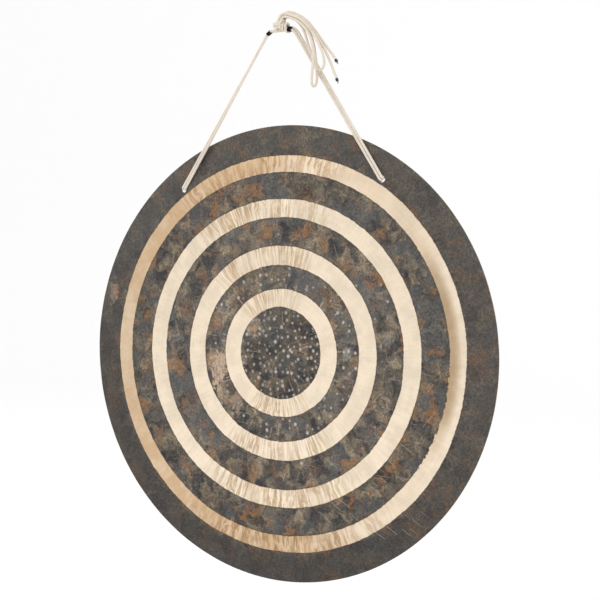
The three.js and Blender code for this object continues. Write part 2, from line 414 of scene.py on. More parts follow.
class Patina(SharedEffect):
    """Mottled charcoal, brown and blue-grey patina of fired and hammered bronze."""

    title = "fired_patina"
    inputs = (
        Socket("Vector", "Vector"),
        Socket("Rust", default=0.5),
        Socket("Shade", default=1.0),
        Socket("Calm", default=0.0),
    )
    outputs = (Socket("Colour", "Color"), Socket("Roughness"), Socket("Height"))
    drift = 0.009

    def lay_out(self, sheet: NodeSheet, given: dict[str, Any]) -> dict[str, Any]:
        """Lays out the blotches, the rust, the blue-grey bloom, the dark spots and the fine speckle.

        Args:
            sheet: The group's tree.
            given: The group's inputs by name.

        Returns:
            The patina's colour, roughness and height.
        """
        still = given["Vector"]
        elsewhere = sheet.vector_math("ADD", still, (2.7, 1.1, 0.6))
        drift_x, drift_z = (
            sheet.span(sheet.noise(source, 60, 2), 0.2, 0.8, -self.drift, self.drift)
            for source in (still, elsewhere)
        )
        place = sheet.vector_math("ADD", still, sheet.combine(drift_x, 0, drift_z))
        broad = sheet.noise(place, 38, 6, 0.68)
        cloud = sheet.noise(sheet.vector_math("ADD", place, (3.1, 0.7, 1.9)), 30, 5, 0.64)
        bloom = sheet.noise(sheet.vector_math("ADD", place, (7.3, 2.2, 5.1)), 22, 4, 0.6)
        spots = sheet.noise(sheet.vector_math("ADD", place, (5.6, 3.3, 8.2)), 120, 3, 0.6)
        speckle = sheet.noise(still, 330, 4, 0.75)
        mottle = sheet.ramp(
            broad,
            (
                (0.37, (0.030, 0.028, 0.028)),
                (0.45, (0.068, 0.060, 0.053)),
                (0.51, (0.118, 0.097, 0.074)),
                (0.58, (0.195, 0.152, 0.104)),
                (0.66, (0.290, 0.226, 0.154)),
            ),
        )
        grey = sheet.times(sheet.span(bloom, 0.50, 0.60), 0.68)
        bloomed = sheet.mix(grey, mottle, (0.090, 0.092, 0.092))
        rust_share = sheet.times(sheet.span(cloud, 0.52, 0.64), given["Rust"])
        rusty = sheet.mix(rust_share, bloomed, (0.255, 0.128, 0.055))
        spotted = sheet.mix(sheet.span(spots, 0.56, 0.68, 0, 0.65), rusty, (0.042, 0.038, 0.036))
        calmed = sheet.mix(given["Calm"], spotted, (0.100, 0.088, 0.077))
        grain = sheet.span(speckle, 0.25, 0.75, 0.50, 1.55)
        tone = sheet.times(grain, given["Shade"])
        return {
            "Colour": sheet.toned(calmed, tone),
            "Roughness": sheet.span(broad, 0.3, 0.7, 0.62, 0.46),
            "Height": sheet.plus(sheet.times(broad, 0.6), sheet.times(speckle, 0.4)),
        }


class BarePatch(SharedEffect):
    """An uneven oval where the patina is worn or wiped off."""

    title = "bare_patch"
    inputs = (
        Socket("Vector", "Vector"),
        Socket("Centre X"),
        Socket("Centre Z"),
        Socket("Half Width", default=0.01),
        Socket("Half Height", default=0.01),
    )
    outputs = (Socket("Mask"),)

    def lay_out(self, sheet: NodeSheet, given: dict[str, Any]) -> dict[str, Any]:
        """Lays out the oval's distance, its ragged edge and its uneven wear.

        Args:
            sheet: The group's tree.
            given: The group's inputs by name.

        Returns:
            How far the patina is worn off.
        """
        x, _, z = sheet.separate(given["Vector"])
        across = sheet.math("DIVIDE", sheet.minus(x, given["Centre X"]), given["Half Width"])
        up = sheet.math("DIVIDE", sheet.minus(z, given["Centre Z"]), given["Half Height"])
        distance = sheet.vector_math("LENGTH", sheet.combine(across, 0, up))
        ragged = sheet.noise(given["Vector"], 110, 5, 0.7)
        edge = sheet.plus(distance, sheet.span(ragged, 0.3, 0.7, -0.55, 0.55))
        uneven = sheet.span(sheet.noise(given["Vector"], 260, 3, 0.6), 0.36, 0.58, 0.35, 1.0)
        return {"Mask": sheet.times(sheet.span(edge, 1.15, 0.75), uneven)}


class Scratches(SharedEffect):
    """Stray straight scratches, at most one in each cell of a flat map that is one unit to the cell."""

    title = "stray_scratches"
    inputs = (
        Socket("Vector", "Vector"),
        Socket("Half Width", default=0.03),
        Socket("Rarity", default=0.7),
    )
    outputs = (Socket("Mask"),)

    def lay_out(self, sheet: NodeSheet, given: dict[str, Any]) -> dict[str, Any]:
        """Lays out the strips through the cells' seeds, each of its own length, kept only here and there.

        Args:
            sheet: The group's tree.
            given: The group's inputs by name.

        Returns:
            Where a scratch runs.
        """
        cells = sheet.add("TexVoronoi", voronoi_dimensions="2D", feature="F1")
        sheet.feed(cells.inputs["Vector"], given["Vector"])
        cells.inputs["Scale"].default_value = 1
        offset = sheet.vector_math("SUBTRACT", given["Vector"], cells.outputs["Position"])
        along, across, _ = sheet.separate(offset)
        pick, size, lean = sheet.separate(cells.outputs["Color"])
        tilted = sheet.plus(across, sheet.times(along, sheet.span(lean, 0, 1, -0.16, 0.16)))
        line = sheet.math("LESS_THAN", sheet.math("ABSOLUTE", tilted), given["Half Width"])
        reach = sheet.plus(sheet.times(size, 0.36), 0.10)
        inside = sheet.math("LESS_THAN", sheet.math("ABSOLUTE", along), reach)
        kept = sheet.math("GREATER_THAN", pick, given["Rarity"])
        return {"Mask": sheet.times(line, inside, kept)}


class BraidWeave(SharedEffect):
    """Diamond braid of a thin cord, on a map that runs once round it and counts picks along it."""

    title = "diamond_braid"
    inputs = (Socket("UV", "Vector"), Socket("Carriers", default=8.0))
    outputs = (Socket("Height"), Socket("Yarn"))

    def lay_out(self, sheet: NodeSheet, given: dict[str, Any]) -> dict[str, Any]:
        """Lays out the bulge of each diamond and the fibres along its own strand.

        Args:
            sheet: The group's tree.
            given: The group's inputs by name.

        Returns:
            The bulge and the fibres.
        """
        around, along, _ = sheet.separate(given["UV"])
        turns = sheet.times(around, given["Carriers"])
        rising = sheet.plus(turns, along)
        falling = sheet.minus(turns, along)
        waves = [
            sheet.math("ABSOLUTE", sheet.math("SINE", sheet.times(way, 2 * RIGHT_ANGLE)))
            for way in (rising, falling)
        ]
        height = sheet.math("POWER", sheet.times(*waves), 0.5)
        parity = sheet.plus(sheet.math("FLOOR", rising), sheet.math("FLOOR", falling))
        odd = sheet.math("ABSOLUTE", sheet.math("MODULO", parity, 2))
        fibres = [
            sheet.noise(sheet.combine(sheet.times(first, 9), sheet.times(second, 1.2), 0), 1, 2)
            for first, second in ((rising, falling), (falling, rising))
        ]
        yarn = sheet.plus(sheet.times(fibres[0], odd), sheet.times(fibres[1], sheet.minus(1, odd)))
        return {"Height": height, "Yarn": yarn}


@dataclass
class Effects:
    """The shared shader node groups."""

    polar: SharedEffect = field(default_factory=PolarPlace)
    patina: SharedEffect = field(default_factory=Patina)
    patch: SharedEffect = field(default_factory=BarePatch)
    scratches: SharedEffect = field(default_factory=Scratches)
    braid: SharedEffect = field(default_factory=BraidWeave)


# Finishes


def new_material(name: str) -> tuple[bpy.types.Material, NodeSheet, bpy.types.Node]:
    """Starts a material.

    Args:
        name: Its name.

    Returns:
        The material, its node tree and its Principled shader.
    """
    material = bpy.data.materials.new(name)
    material.use_nodes = True
    sheet = NodeSheet(material.node_tree)
    return material, sheet, material.node_tree.nodes["Principled BSDF"]


@dataclass(frozen=True)
class DiscSizes:
    """Sizes of the bronze disc, all in metres."""

    radius: float = 0.350
    thickness: float = 0.002
    dome_height: float = 0.008
    dome_power: int = 6
    drop: float = 0.4914
    hole_reach: float = 0.3125
    left_hole_angle: float = math.radians(34.5)
    right_hole_angle: float = math.radians(33.0)
    hole_diameter: float = 0.010

    def depth(self, reach: float) -> float:
        """Returns the depth of the plate's middle surface at a distance from the axis."""
        mean = self.dome_height * (1 - 2 / (self.dome_power + 2))
        return mean - self.dome_height * (1 - (reach / self.radius) ** self.dome_power)

    def hole(self, side: int) -> Vector:
        """Finds the middle of a hole.

        Args:
            side: -1 for the left hole and 1 for the right one.

        Returns:
            Its place in the rim's plane.
        """
        angle = self.left_hole_angle if side < 0 else self.right_hole_angle
        sideways = side * self.hole_reach * math.sin(angle)
        return Vector((sideways, 0, self.hole_reach * math.cos(angle) - self.drop))


@dataclass(frozen=True)
class Patch:
    """An uneven spot on the face, in metres from the disc's centre."""

    x: float
    z: float
    half_width: float
    half_height: float
    colour: Colour
    strength: float


@dataclass(frozen=True)
class PolishedBand:
    """One polished band, in metres. Each was scraped round a middle of its own."""

    inner: float
    outer: float
    shift_x: float
    shift_z: float


@dataclass(frozen=True)
class ScratchRun:
    """Scratches that run one way over a part of the face, in metres and degrees."""

    angle: float
    length: float
    spacing: float
    rarity: float
    strength: float
    centre_x: float
    centre_z: float
    reach: float


@dataclass(frozen=True)
class StruckFaceFinish:
    """Front of the gong: patina with four scraped and polished bands."""

    sizes: DiscSizes
    cream: Colour = (0.885, 0.755, 0.590)
    # Tan of the painted dark reflection on the outermost band.
    painted_reflection_tan: Colour = (0.600, 0.425, 0.265)
    # Olive brown of the painted shade along the outermost band's inner edge on the right.
    painted_shade_olive: Colour = (0.36, 0.255, 0.150)
    outline: Colour = (0.070, 0.044, 0.027)
    edge_softness: float = 0.0006
    outline_width: float = 0.0016
    # Light colour of the peening dots: a painted highlight on the dents.
    dot: Colour = (0.44, 0.41, 0.37)
    scratch: Colour = (0.40, 0.36, 0.31)
    stray_scratch: Colour = (0.42, 0.37, 0.31)
    stray_half_width: float = 0.00042
    dots_to_the_metre: float = 98
    streaks_round: float = 46.0
    bands: tuple[PolishedBand, ...] = (
        PolishedBand(0.0703, 0.0979, 0.0007, 0.0023),
        PolishedBand(0.1353, 0.1642, -0.0002, 0.0018),
        PolishedBand(0.2087, 0.2363, -0.0013, 0.0012),
        PolishedBand(0.2786, 0.3037, 0.0002, 0.0001),
    )
    # How strong the painted dark reflection on the outermost band is round the disc, by turn in degrees.
    painted_reflection_round: tuple[tuple[float, float], ...] = (
        (-180, 0.95), (-150, 1.00), (-118, 1.00), (-88, 0.62), (-62, 1.00), (-30, 1.00),
        (-5, 0.90), (8, 0.35), (48, 0.30), (64, 0.70), (82, 0.95), (104, 0.80), (124, 0.15),
        (152, 0.22), (168, 0.80), (180, 0.95),
    )
    patina_levels: tuple[tuple[float, float], ...] = (
        (0.19, 0.66), (0.28, 0.96), (0.39, 0.96), (0.50, 1.00),
        (0.60, 1.00), (0.70, 0.84), (0.80, 0.80), (0.88, 0.66),
    )
    dot_rarity: tuple[tuple[float, float], ...] = (
        (0.19, 0.04), (0.25, 0.58), (0.38, 0.70), (0.46, 0.90), (0.60, 0.985), (0.70, 1.0),
    )
    patches: tuple[Patch, ...] = (
        Patch(-0.1085, -0.030, 0.0125, 0.029, (0.49, 0.36, 0.255), 0.95),
        Patch(-0.1055, -0.006, 0.0080, 0.012, (0.45, 0.33, 0.235), 0.85),
        Patch(-0.1075, -0.066, 0.0070, 0.015, (0.40, 0.285, 0.20), 0.75),
        Patch(-0.0770, -0.077, 0.0100, 0.014, (0.36, 0.262, 0.20), 0.6),
        Patch(-0.0480, 0.0410, 0.0150, 0.012, (0.33, 0.245, 0.175), 0.8),
        Patch(-0.0440, 0.0375, 0.0035, 0.004, (0.42, 0.19, 0.075), 0.8),
        Patch(-0.3200, 0.0920, 0.0060, 0.023, (0.200, 0.185, 0.165), 0.7),
        Patch(-0.3135, 0.0930, 0.0050, 0.017, (0.330, 0.175, 0.085), 0.8),
        Patch(0.116, 0.003, 0.0075, 0.0105, (0.245, 0.245, 0.205), 0.8),
        Patch(0.184, 0.026, 0.010, 0.009, (0.235, 0.215, 0.185), 0.7),
    )
    scratches: tuple[ScratchRun, ...] = (
        ScratchRun(34, 0.042, 0.013, 0.68, 0.50, 0.150, -0.185, 0.110),
        ScratchRun(-48, 0.036, 0.012, 0.76, 0.45, 0.185, -0.045, 0.100),
        ScratchRun(8, 0.040, 0.016, 0.84, 0.35, 0.080, -0.040, 0.200),
        ScratchRun(71, 0.038, 0.015, 0.82, 0.35, 0.060, 0.030, 0.170),
        ScratchRun(-20, 0.034, 0.014, 0.86, 0.30, -0.060, -0.060, 0.220),
    )

    def build(self, effects: Effects) -> bpy.types.Material:
        """Builds the material.

        Args:
            effects: The shared node groups.

        Returns:
            The material.
        """
        material, sheet, shader = new_material("struck_face_bronze")
        centred = sheet.add("Mapping", vector_type="POINT")
        centred.inputs["Location"].default_value = (0, 0, self.sizes.drop)
        sheet.feed(centred.inputs[0], sheet.add("TexCoord").outputs["Object"])
        place = centred.outputs[0]
        polar = sheet.use(effects.polar.tree, Vector=place)
        polished, outlined, inward = self.lay_bands(sheet, place, polar)
        bright, grooves = self.lay_polish(sheet, place, polar, inward)
        dark, satin, height = self.lay_patina(sheet, effects, place, polar)
        dark, dot = self.lay_dots(sheet, place, polar, dark)
        dark = self.lay_scratches(sheet, effects, place, polar, dark)
        ring = sheet.math("SUBTRACT", outlined, polished, clamp=True)
        dark = sheet.mix(sheet.times(ring, 0.6), dark, self.outline)
        relief = sheet.blend(
            polished, sheet.minus(height, sheet.times(dot, 0.7)), sheet.times(grooves, 0.6)
        )
        sheet.fill(
            shader,
            Base_Color=sheet.mix(polished, dark, bright),
            Metallic=sheet.span(polished, 0, 1, 0.08, 1.0),
            Specular_IOR_Level=0.3,
            Roughness=sheet.blend(polished, satin, sheet.span(grooves, 0.3, 0.7, 0.30, 0.40)),
            Normal=sheet.bump(relief, 0.0006, 0.8),
        )
        return material

    def lay_bands(self, sheet: NodeSheet, place: Any, polar: bpy.types.Node) -> tuple[Any, Any, Any]:
        """Lays out where the four bands are scraped.

        Args:
            sheet: The material's tree.
            place: The place from the disc's centre.
            polar: The place in polar parts.

        Returns:
            The bands' mask, the mask of the bands with their dark outlines, and how near the outermost band's
            inner edge a place is.
        """
        x, _, z = sheet.separate(place)
        fine_edge = sheet.span(sheet.noise(place, 150, 3, 0.6), 0.2, 0.8, -0.0006, 0.0006)
        slow_edge = sheet.span(sheet.noise(place, 18, 2), 0.25, 0.75, -0.0006, 0.0006)
        wander = sheet.plus(fine_edge, slow_edge)
        low_right = sheet.minus(polar.outputs["Turn"], math.radians(107))
        scalloped = sheet.span(sheet.math("ABSOLUTE", low_right), math.radians(23), math.radians(15))
        scallop = sheet.span(sheet.noise(place, 170, 2, 0.6), 0.32, 0.68, -0.0014, 0.0014)
        scallop = sheet.times(scallop, scalloped)
        masks: list[Any] = [0.0, 0.0]
        inward: Any = 0.0
        for band in self.bands:
            from_middle = sheet.combine(sheet.minus(x, band.shift_x), 0, sheet.minus(z, band.shift_z))
            reach = sheet.plus(sheet.vector_math("LENGTH", from_middle), wander)
            inner_reach = reach
            if band is self.bands[-1]:
                inner_reach = sheet.plus(reach, scallop)
                inward = sheet.span(reach, band.outer - 0.004, band.inner + 0.004)
            edges = ((0.0, self.edge_softness), (self.outline_width, self.outline_width / 2))
            for number, (grow, soft) in enumerate(edges):
                inside = sheet.span(inner_reach, band.inner - grow - soft, band.inner - grow + soft)
                outside = sheet.span(reach, band.outer + grow + soft, band.outer + grow - soft)
                masks[number] = sheet.plus(masks[number], sheet.times(inside, outside))
        return masks[0], masks[1], inward

    def lay_polish(self, sheet: NodeSheet, place: Any, polar: bpy.types.Node, inward: Any) -> tuple[Any, Any]:
        """Lays out the bright metal of the bands, its scraper streaks with painted reflection streaks along
        them, and the painted dark reflection and painted shade on the outermost band.

        Args:
            sheet: The material's tree.
            place: The place from the disc's centre.
            polar: The place in polar parts.
            inward: How near the outermost band's inner edge a place is.

        Returns:
            The colour, and the depth of the streaks.
        """
        reach, heading, turn = (polar.outputs[name] for name in ("Reach", "Heading", "Turn"))
        lean = sheet.span(sheet.noise(place, 30, 2), 0.2, 0.8, -0.7, 0.7)
        leaning = sheet.vector_math(
            "ADD", sheet.scaled(heading, self.streaks_round), sheet.combine(lean, 0, lean)
        )
        wide_place = sheet.vector_math("ADD", leaning, sheet.combine(0, sheet.times(reach, 16), 0))
        wide = sheet.noise(wide_place, 1, 2, 0.5)
        narrow_place = sheet.vector_math(
            "ADD", sheet.scaled(leaning, 2.3), sheet.combine(4, sheet.times(reach, 34), 2)
        )
        narrow = sheet.noise(narrow_place, 1, 3, 0.6)
        grooves = sheet.plus(sheet.times(wide, 0.62), sheet.times(narrow, 0.38))
        # Painted reflection streaks: glints and dark streaks of the brushed metal, painted into the colour
        # along the scraped grooves.
        painted_streak_glints = sheet.ramp(
            grooves,
            (
                (0.36, (1.05, 1.06, 1.08)),
                (0.45, (0.98, 0.98, 0.98)),
                (0.505, (0.82, 0.76, 0.69)),
                (0.555, (0.57, 0.47, 0.37)),
                (0.60, (0.66, 0.57, 0.47)),
                (0.66, (0.94, 0.91, 0.87)),
            ),
        )
        top = sheet.span(sheet.math("COSINE", sheet.plus(turn, math.radians(11))), 0.76, 0.95)
        bottom = sheet.span(sheet.math("COSINE", turn), -0.72, -0.96)
        gusts = sheet.span(sheet.noise(place, 19, 2), 0.36, 0.60, 0.45, 1.0)
        # The painted reflection streaks are strongest at the top and bottom of each band.
        grazed = sheet.math("MAXIMUM", sheet.math("MAXIMUM", top, bottom), 0.13)
        painted_streak_share = sheet.times(grazed, gusts)
        lathe_place = sheet.combine(sheet.times(reach, 900), sheet.times(turn, 3), 0)
        lathe = sheet.span(sheet.noise(lathe_place, 1, 2, 0.5), 0.38, 0.62, 0.97, 1.02)
        outer_dim = sheet.span(reach, 0.09, 0.23, 1.0, 0.975)
        dimmed = sheet.span(sheet.noise(place, 27, 4, 0.6), 0.40, 0.62, 1.0, 0.90)
        level = sheet.times(lathe, outer_dim, dimmed)
        bright = sheet.toned(self.cream, level)
        # Painted dark reflection: tan laid on the outermost band by turn, nearer its inner edge on the right.
        share_round = sheet.levels(
            sheet.plus(sheet.math("DIVIDE", turn, FULL_TURN), 0.5),
            [(angle / 360 + 0.5, share) for angle, share in self.painted_reflection_round],
        )
        cloudy = sheet.span(sheet.noise(place, 34, 4, 0.6), 0.30, 0.70, 0.70, 1.18)
        rightward = sheet.span(sheet.math("COSINE", sheet.minus(turn, math.radians(92))), 0.62, 0.90)
        one_sided = sheet.mix(rightward, (1.0, 1.0, 1.0), sheet.combine(inward, inward, inward))
        outermost = sheet.span(reach, 0.262, 0.268)
        painted_reflection_share = sheet.times(share_round, sheet.times(cloudy, outermost))
        painted_reflection_share = sheet.math("MULTIPLY", painted_reflection_share, sheet.separate(one_sided)[0], clamp=True)
        bright = sheet.mix(painted_reflection_share, bright, self.painted_reflection_tan)
        # Painted shade in olive brown along the outermost band's inner edge on the right.
        painted_shade_round = sheet.span(sheet.math("COSINE", sheet.minus(turn, math.radians(86))), 0.86, 0.97)
        painted_shade_share = sheet.times(painted_shade_round, outermost, inward)
        bright = sheet.mix(sheet.times(painted_shade_share, 0.60), bright, self.painted_shade_olive)
        # The bands' colour with the painted reflection streaks.
        painted_streak_colour = sheet.vector_math("MULTIPLY", bright, painted_streak_glints)
        return sheet.mix(painted_streak_share, bright, painted_streak_colour), grooves

    def lay_patina(
        self, sheet: NodeSheet, effects: Effects, place: Any, polar: bpy.types.Node
    ) -> tuple[Any, Any, Any]:
        """Lays out the patina between the bands and its worn spots.

        Args:
            sheet: The material's tree.
            effects: The shared node groups.
            place: The place from the disc's centre.
            polar: The place in polar parts.

        Returns:
            The colour, the roughness and the height.
        """
        reach = polar.outputs["Reach"]
        x, _, z = sheet.separate(place)
        zone = sheet.levels(sheet.math("DIVIDE", reach, self.sizes.radius), self.patina_levels)
        low_left = sheet.span(sheet.plus(z, sheet.times(x, 0.5)), -0.30, 0.10, 0.74, 1.04)
        outer_zone = sheet.span(reach, 0.300, 0.315)
        darkened = sheet.plus(sheet.times(sheet.minus(low_left, 1), outer_zone), 1)
        left = sheet.span(sheet.minus(x, sheet.times(z, 0.3)), -0.075, -0.115, 1.0, 1.30)
        near = sheet.span(reach, 0.135, 0.128)
        lifted = sheet.plus(sheet.times(sheet.minus(left, 1), near), 1)
        shade = sheet.times(zone, darkened, lifted)
        calm = sheet.times(outer_zone, 0.62)
        rust = sheet.span(reach, 0.08, 0.24, 0.30, 0.85)
        patina = sheet.use(effects.patina.tree, Vector=place, Rust=rust, Shade=shade, Calm=calm)
        dark = patina.outputs["Colour"]
        for patch in self.patches:
            spot = sheet.use(
                effects.patch.tree,
                Vector=place,
                Centre_X=patch.x,
                Centre_Z=patch.z,
                Half_Width=patch.half_width,
                Half_Height=patch.half_height,
            )
            dark = sheet.mix(sheet.times(spot.outputs[0], patch.strength), dark, patch.colour)
        return dark, patina.outputs["Roughness"], patina.outputs["Height"]

    def lay_dots(self, sheet: NodeSheet, place: Any, polar: bpy.types.Node, dark: Any) -> tuple[Any, Any]:
        """Lays out the peening dots, thick in the middle and thinning outwards, each with a painted
        highlight.

        Args:
            sheet: The material's tree.
            place: The place from the disc's centre.
            polar: The place in polar parts.
            dark: The patina's colour.

        Returns:
            The patina with its dots, and the dots' mask.
        """
        x, _, z = sheet.separate(place)
        reach = polar.outputs["Reach"]
        cells = sheet.add("TexVoronoi", voronoi_dimensions="2D", feature="F1")
        sheet.feed(cells.inputs["Vector"], sheet.combine(x, sheet.times(z, 0.9), 0))
        cells.inputs["Scale"].default_value = self.dots_to_the_metre
        cells.inputs["Randomness"].default_value = 0.8
        pick, size, tone = sheet.separate(cells.outputs["Color"])
        rarity = sheet.levels(sheet.math("DIVIDE", reach, self.sizes.radius), self.dot_rarity)
        leftness = sheet.times(sheet.span(x, 0.04, -0.08, 0, 0.16), sheet.span(reach, 0.06, 0.10))
        chosen = sheet.math("GREATER_THAN", pick, sheet.plus(rarity, leftness))
        width = sheet.plus(sheet.times(size, 0.13), 0.15)
        inside = sheet.minus(width, cells.outputs["Distance"])
        dot = sheet.times(sheet.span(inside, -0.08, 0.14), chosen)
        # The dots' painted highlight, laid on the patina.
        share = sheet.times(dot, sheet.span(tone, 0, 1, 0.35, 0.95))
        return sheet.mix(share, dark, self.dot), dot

    def lay_scratches(
        self, sheet: NodeSheet, effects: Effects, place: Any, polar: bpy.types.Node, dark: Any
    ) -> Any:
        """Lays out the scratches that run outwards in the middle, and the stray ones.

        Args:
            sheet: The material's tree.
            effects: The shared node groups.
            place: The place from the disc's centre.
            polar: The place in polar parts.
            dark: The patina's colour.

        Returns:
            The scratched patina.
        """
        reach, turn = polar.outputs["Reach"], polar.outputs["Turn"]
        outward = sheet.use(
            effects.scratches.tree,
            Vector=sheet.combine(sheet.times(reach, 38), sheet.times(turn, 9), 0),
            Half_Width=0.075,
            Rarity=0.62,
        )
        middle = sheet.times(sheet.span(reach, 0.135, 0.110), sheet.span(reach, 0.014, 0.024))
        dark = sheet.mix(sheet.times(outward.outputs[0], middle, 0.55), dark, self.scratch)
        for run in self.scratches:
            turned = sheet.add("Mapping", vector_type="TEXTURE")
            turned.inputs["Rotation"].default_value = (0, math.radians(run.angle), 0)
            turned.inputs["Scale"].default_value = (run.length, 1, run.spacing)
            sheet.feed(turned.inputs[0], place)
            along, _, across = sheet.separate(turned.outputs[0])
            stray = sheet.use(
                effects.scratches.tree,
                Vector=sheet.combine(along, across, 0),
                Half_Width=self.stray_half_width / run.spacing,
                Rarity=run.rarity,
            )
            distance = sheet.vector_math(
                "LENGTH", sheet.vector_math("SUBTRACT", place, (run.centre_x, 0.0, run.centre_z))
            )
            here = sheet.span(distance, run.reach, run.reach * 0.8)
            share = sheet.times(stray.outputs[0], here, run.strength)
            dark = sheet.mix(share, dark, self.stray_scratch)
        return dark


@dataclass(frozen=True)
class BackFinish:
    """Back of the gong: unscraped patina with faint turning rings."""

    sizes: DiscSizes

    def build(self, effects: Effects) -> bpy.types.Material:
        """Builds the material.

        Args:
            effects: The shared node groups.

        Returns:
            The material.
        """
        material, sheet, shader = new_material("back_bronze")
        centred = sheet.add("Mapping", vector_type="POINT")
        centred.inputs["Location"].default_value = (0.8, 0, self.sizes.drop + 1.3)
        place = sheet.add("TexCoord").outputs["Object"]
        sheet.feed(centred.inputs[0], place)
        middle = sheet.vector_math("ADD", place, (0, 0, self.sizes.drop))
        polar = sheet.use(effects.polar.tree, Vector=middle)
        rings = sheet.noise(sheet.combine(sheet.times(polar.outputs["Reach"], 260), 0, 0), 1, 3, 0.6)
        patina = sheet.use(
            effects.patina.tree,
            Vector=centred.outputs[0],
            Rust=0.35,
            Shade=sheet.span(rings, 0.3, 0.7, 0.72, 0.98),
            Calm=0.25,
        )
        height = sheet.plus(patina.outputs["Height"], sheet.times(rings, 0.35))
        sheet.fill(
            shader,
            Base_Color=patina.outputs["Colour"],
            Metallic=0.1,
            Roughness=patina.outputs["Roughness"],
            Normal=sheet.bump(height, 0.0006, 0.8),
        )
        return material


@dataclass(frozen=True)
class RimFinish:
    """Filed edge of the disc and of its holes."""

    bare: Colour = (0.42, 0.33, 0.235)
    stained: Colour = (0.12, 0.098, 0.08)

    def build(self) -> bpy.types.Material:
        """Builds the material.

        Returns:
            The material.
        """
        material, sheet, shader = new_material("rim_bronze")
        place = sheet.add("TexCoord").outputs["Object"]
        wear = sheet.noise(place, 28, 5, 0.65)
        file_marks = sheet.noise(sheet.vector_math("MULTIPLY", place, (1, 6, 1)), 700, 2)
        sheet.fill(
            shader,
            Base_Color=sheet.mix(sheet.span(wear, 0.42, 0.62), self.stained, self.bare),
            Metallic=sheet.span(wear, 0.4, 0.6, 0.2, 0.9),
            Roughness=sheet.span(file_marks, 0.3, 0.7, 0.32, 0.5),
            Normal=sheet.bump(file_marks, 0.0001, 0.6),
        )
        return material


@dataclass(frozen=True)
class CordFinish:
    """Cream braided cord."""

    name: str = "cream_braid"
    yarn: Colour = (0.795, 0.715, 0.605)
    # Painted shade in the braid's crevices.
    painted_crevice_shade: Colour = (0.43, 0.345, 0.265)
    soiled: Colour = (0.655, 0.555, 0.435)
    # Painted shadow under the knot's arc, in brown, round one place within a reach.
    painted_arc_shadow: Colour = (0.30, 0.185, 0.115)
    painted_arc_shadow_place: Point = (0.0085, 0.0, 0.0215)
    painted_arc_shadow_reach: float = 0.0055

    def build(self, effects: Effects) -> bpy.types.Material:
        """Builds the material.

        Args:
            effects: The shared node groups.

        Returns:
            The material.
        """
        material, sheet, shader = new_material(self.name)
        braid = sheet.use(effects.braid.tree, UV=sheet.add("UVMap", uv_map="braid").outputs[0])
        height = braid.outputs["Height"]
        place = sheet.add("TexCoord").outputs["Object"]
        handled = sheet.noise(place, 45, 3, 0.6)
        yarn = sheet.mix(sheet.span(handled, 0.45, 0.75, 0, 0.55), self.yarn, self.soiled)
        # Painted shadow under the knot's arc, darkest at its place.
        from_painted_arc_shadow = sheet.vector_math("DISTANCE", place, self.painted_arc_shadow_place)
        yarn = sheet.mix(sheet.span(from_painted_arc_shadow, self.painted_arc_shadow_reach, 0.002, 0, 0.8), yarn, self.painted_arc_shadow)
        yarn = sheet.toned(yarn, sheet.span(braid.outputs["Yarn"], 0.3, 0.7, 0.88, 1.06))
        lift = sheet.plus(height, sheet.times(braid.outputs["Yarn"], 0.3))
        # The braid's crevices get painted shade.
        sheet.fill(
            shader,
            Base_Color=sheet.mix(sheet.span(height, 0.62, 0.10), yarn, self.painted_crevice_shade),
            Roughness=0.85,
            Sheen_Weight=0.25,
            Sheen_Roughness=0.6,
            Normal=sheet.bump(lift, 0.00018, 0.7),
        )
        return material


@dataclass(frozen=True)
class TapeFinish:
    """Black cloth tape."""

    black: Colour = (0.004, 0.0034, 0.003)
    scuffed: Colour = (0.020, 0.017, 0.014)

    def build(self) -> bpy.types.Material:
        """Builds the material.

        Returns:
            The material.
        """
        material, sheet, shader = new_material("black_tape")
        place = sheet.add("TexCoord").outputs["Object"]
        scuffs = sheet.noise(place, 520, 4, 0.65)
        weave = sheet.noise(sheet.vector_math("MULTIPLY", place, (1, 1, 4)), 1500, 1)
        sheet.fill(
            shader,
            Base_Color=sheet.mix(sheet.span(scuffs, 0.52, 0.75), self.black, self.scuffed),
            Roughness=sheet.span(scuffs, 0.3, 0.7, 0.60, 0.80),
            Specular_IOR_Level=0.2,
            Normal=sheet.bump(weave, 0.00006, 0.6),
        )
        return material


@dataclass(frozen=True)
class ThreadFinish:
    """Dark waxed whipping thread, and the singed fibres beyond it."""

    name: str
    thread: Colour
    worn: Colour

    def build(self) -> bpy.types.Material:
        """Builds the material.

        Returns:
            The material.
        """
        material, sheet, shader = new_material(self.name)
        place = sheet.add("TexCoord").outputs["Object"]
        patchy = sheet.noise(place, 600, 3, 0.6)
        fibres = sheet.noise(place, 2600, 2)
        sheet.fill(
            shader,
            Base_Color=sheet.mix(sheet.span(patchy, 0.46, 0.68), self.thread, self.worn),
            Roughness=sheet.span(fibres, 0.3, 0.7, 0.55, 0.8),
            Normal=sheet.bump(fibres, 0.00006, 0.7),
        )
        return material


# Tubes of cord


def spoke(across: Vector, third: Vector, angle: float) -> Vector:
    """Returns the unit vector at an angle from one direction towards another."""
    return across * math.cos(angle) + third * math.sin(angle)


def travel(route: np.ndarray) -> np.ndarray:
    """Returns how far along a route each of its samples lies."""
    return np.concatenate(([0], np.cumsum(np.linalg.norm(np.diff(route, axis=0), axis=1))))


def resampled(line: np.ndarray, count: int) -> np.ndarray:
    """Samples a line evenly.

    Args:
        line: The line's points, one row each.
        count: How many samples are taken.

    Returns:
        The samples, one row each, from the first point to the last.
    """
    lengths = travel(line)
    places = np.linspace(0, lengths[-1], count)
    return np.stack([np.interp(places, lengths, line[:, axis]) for axis in range(3)], axis=1)


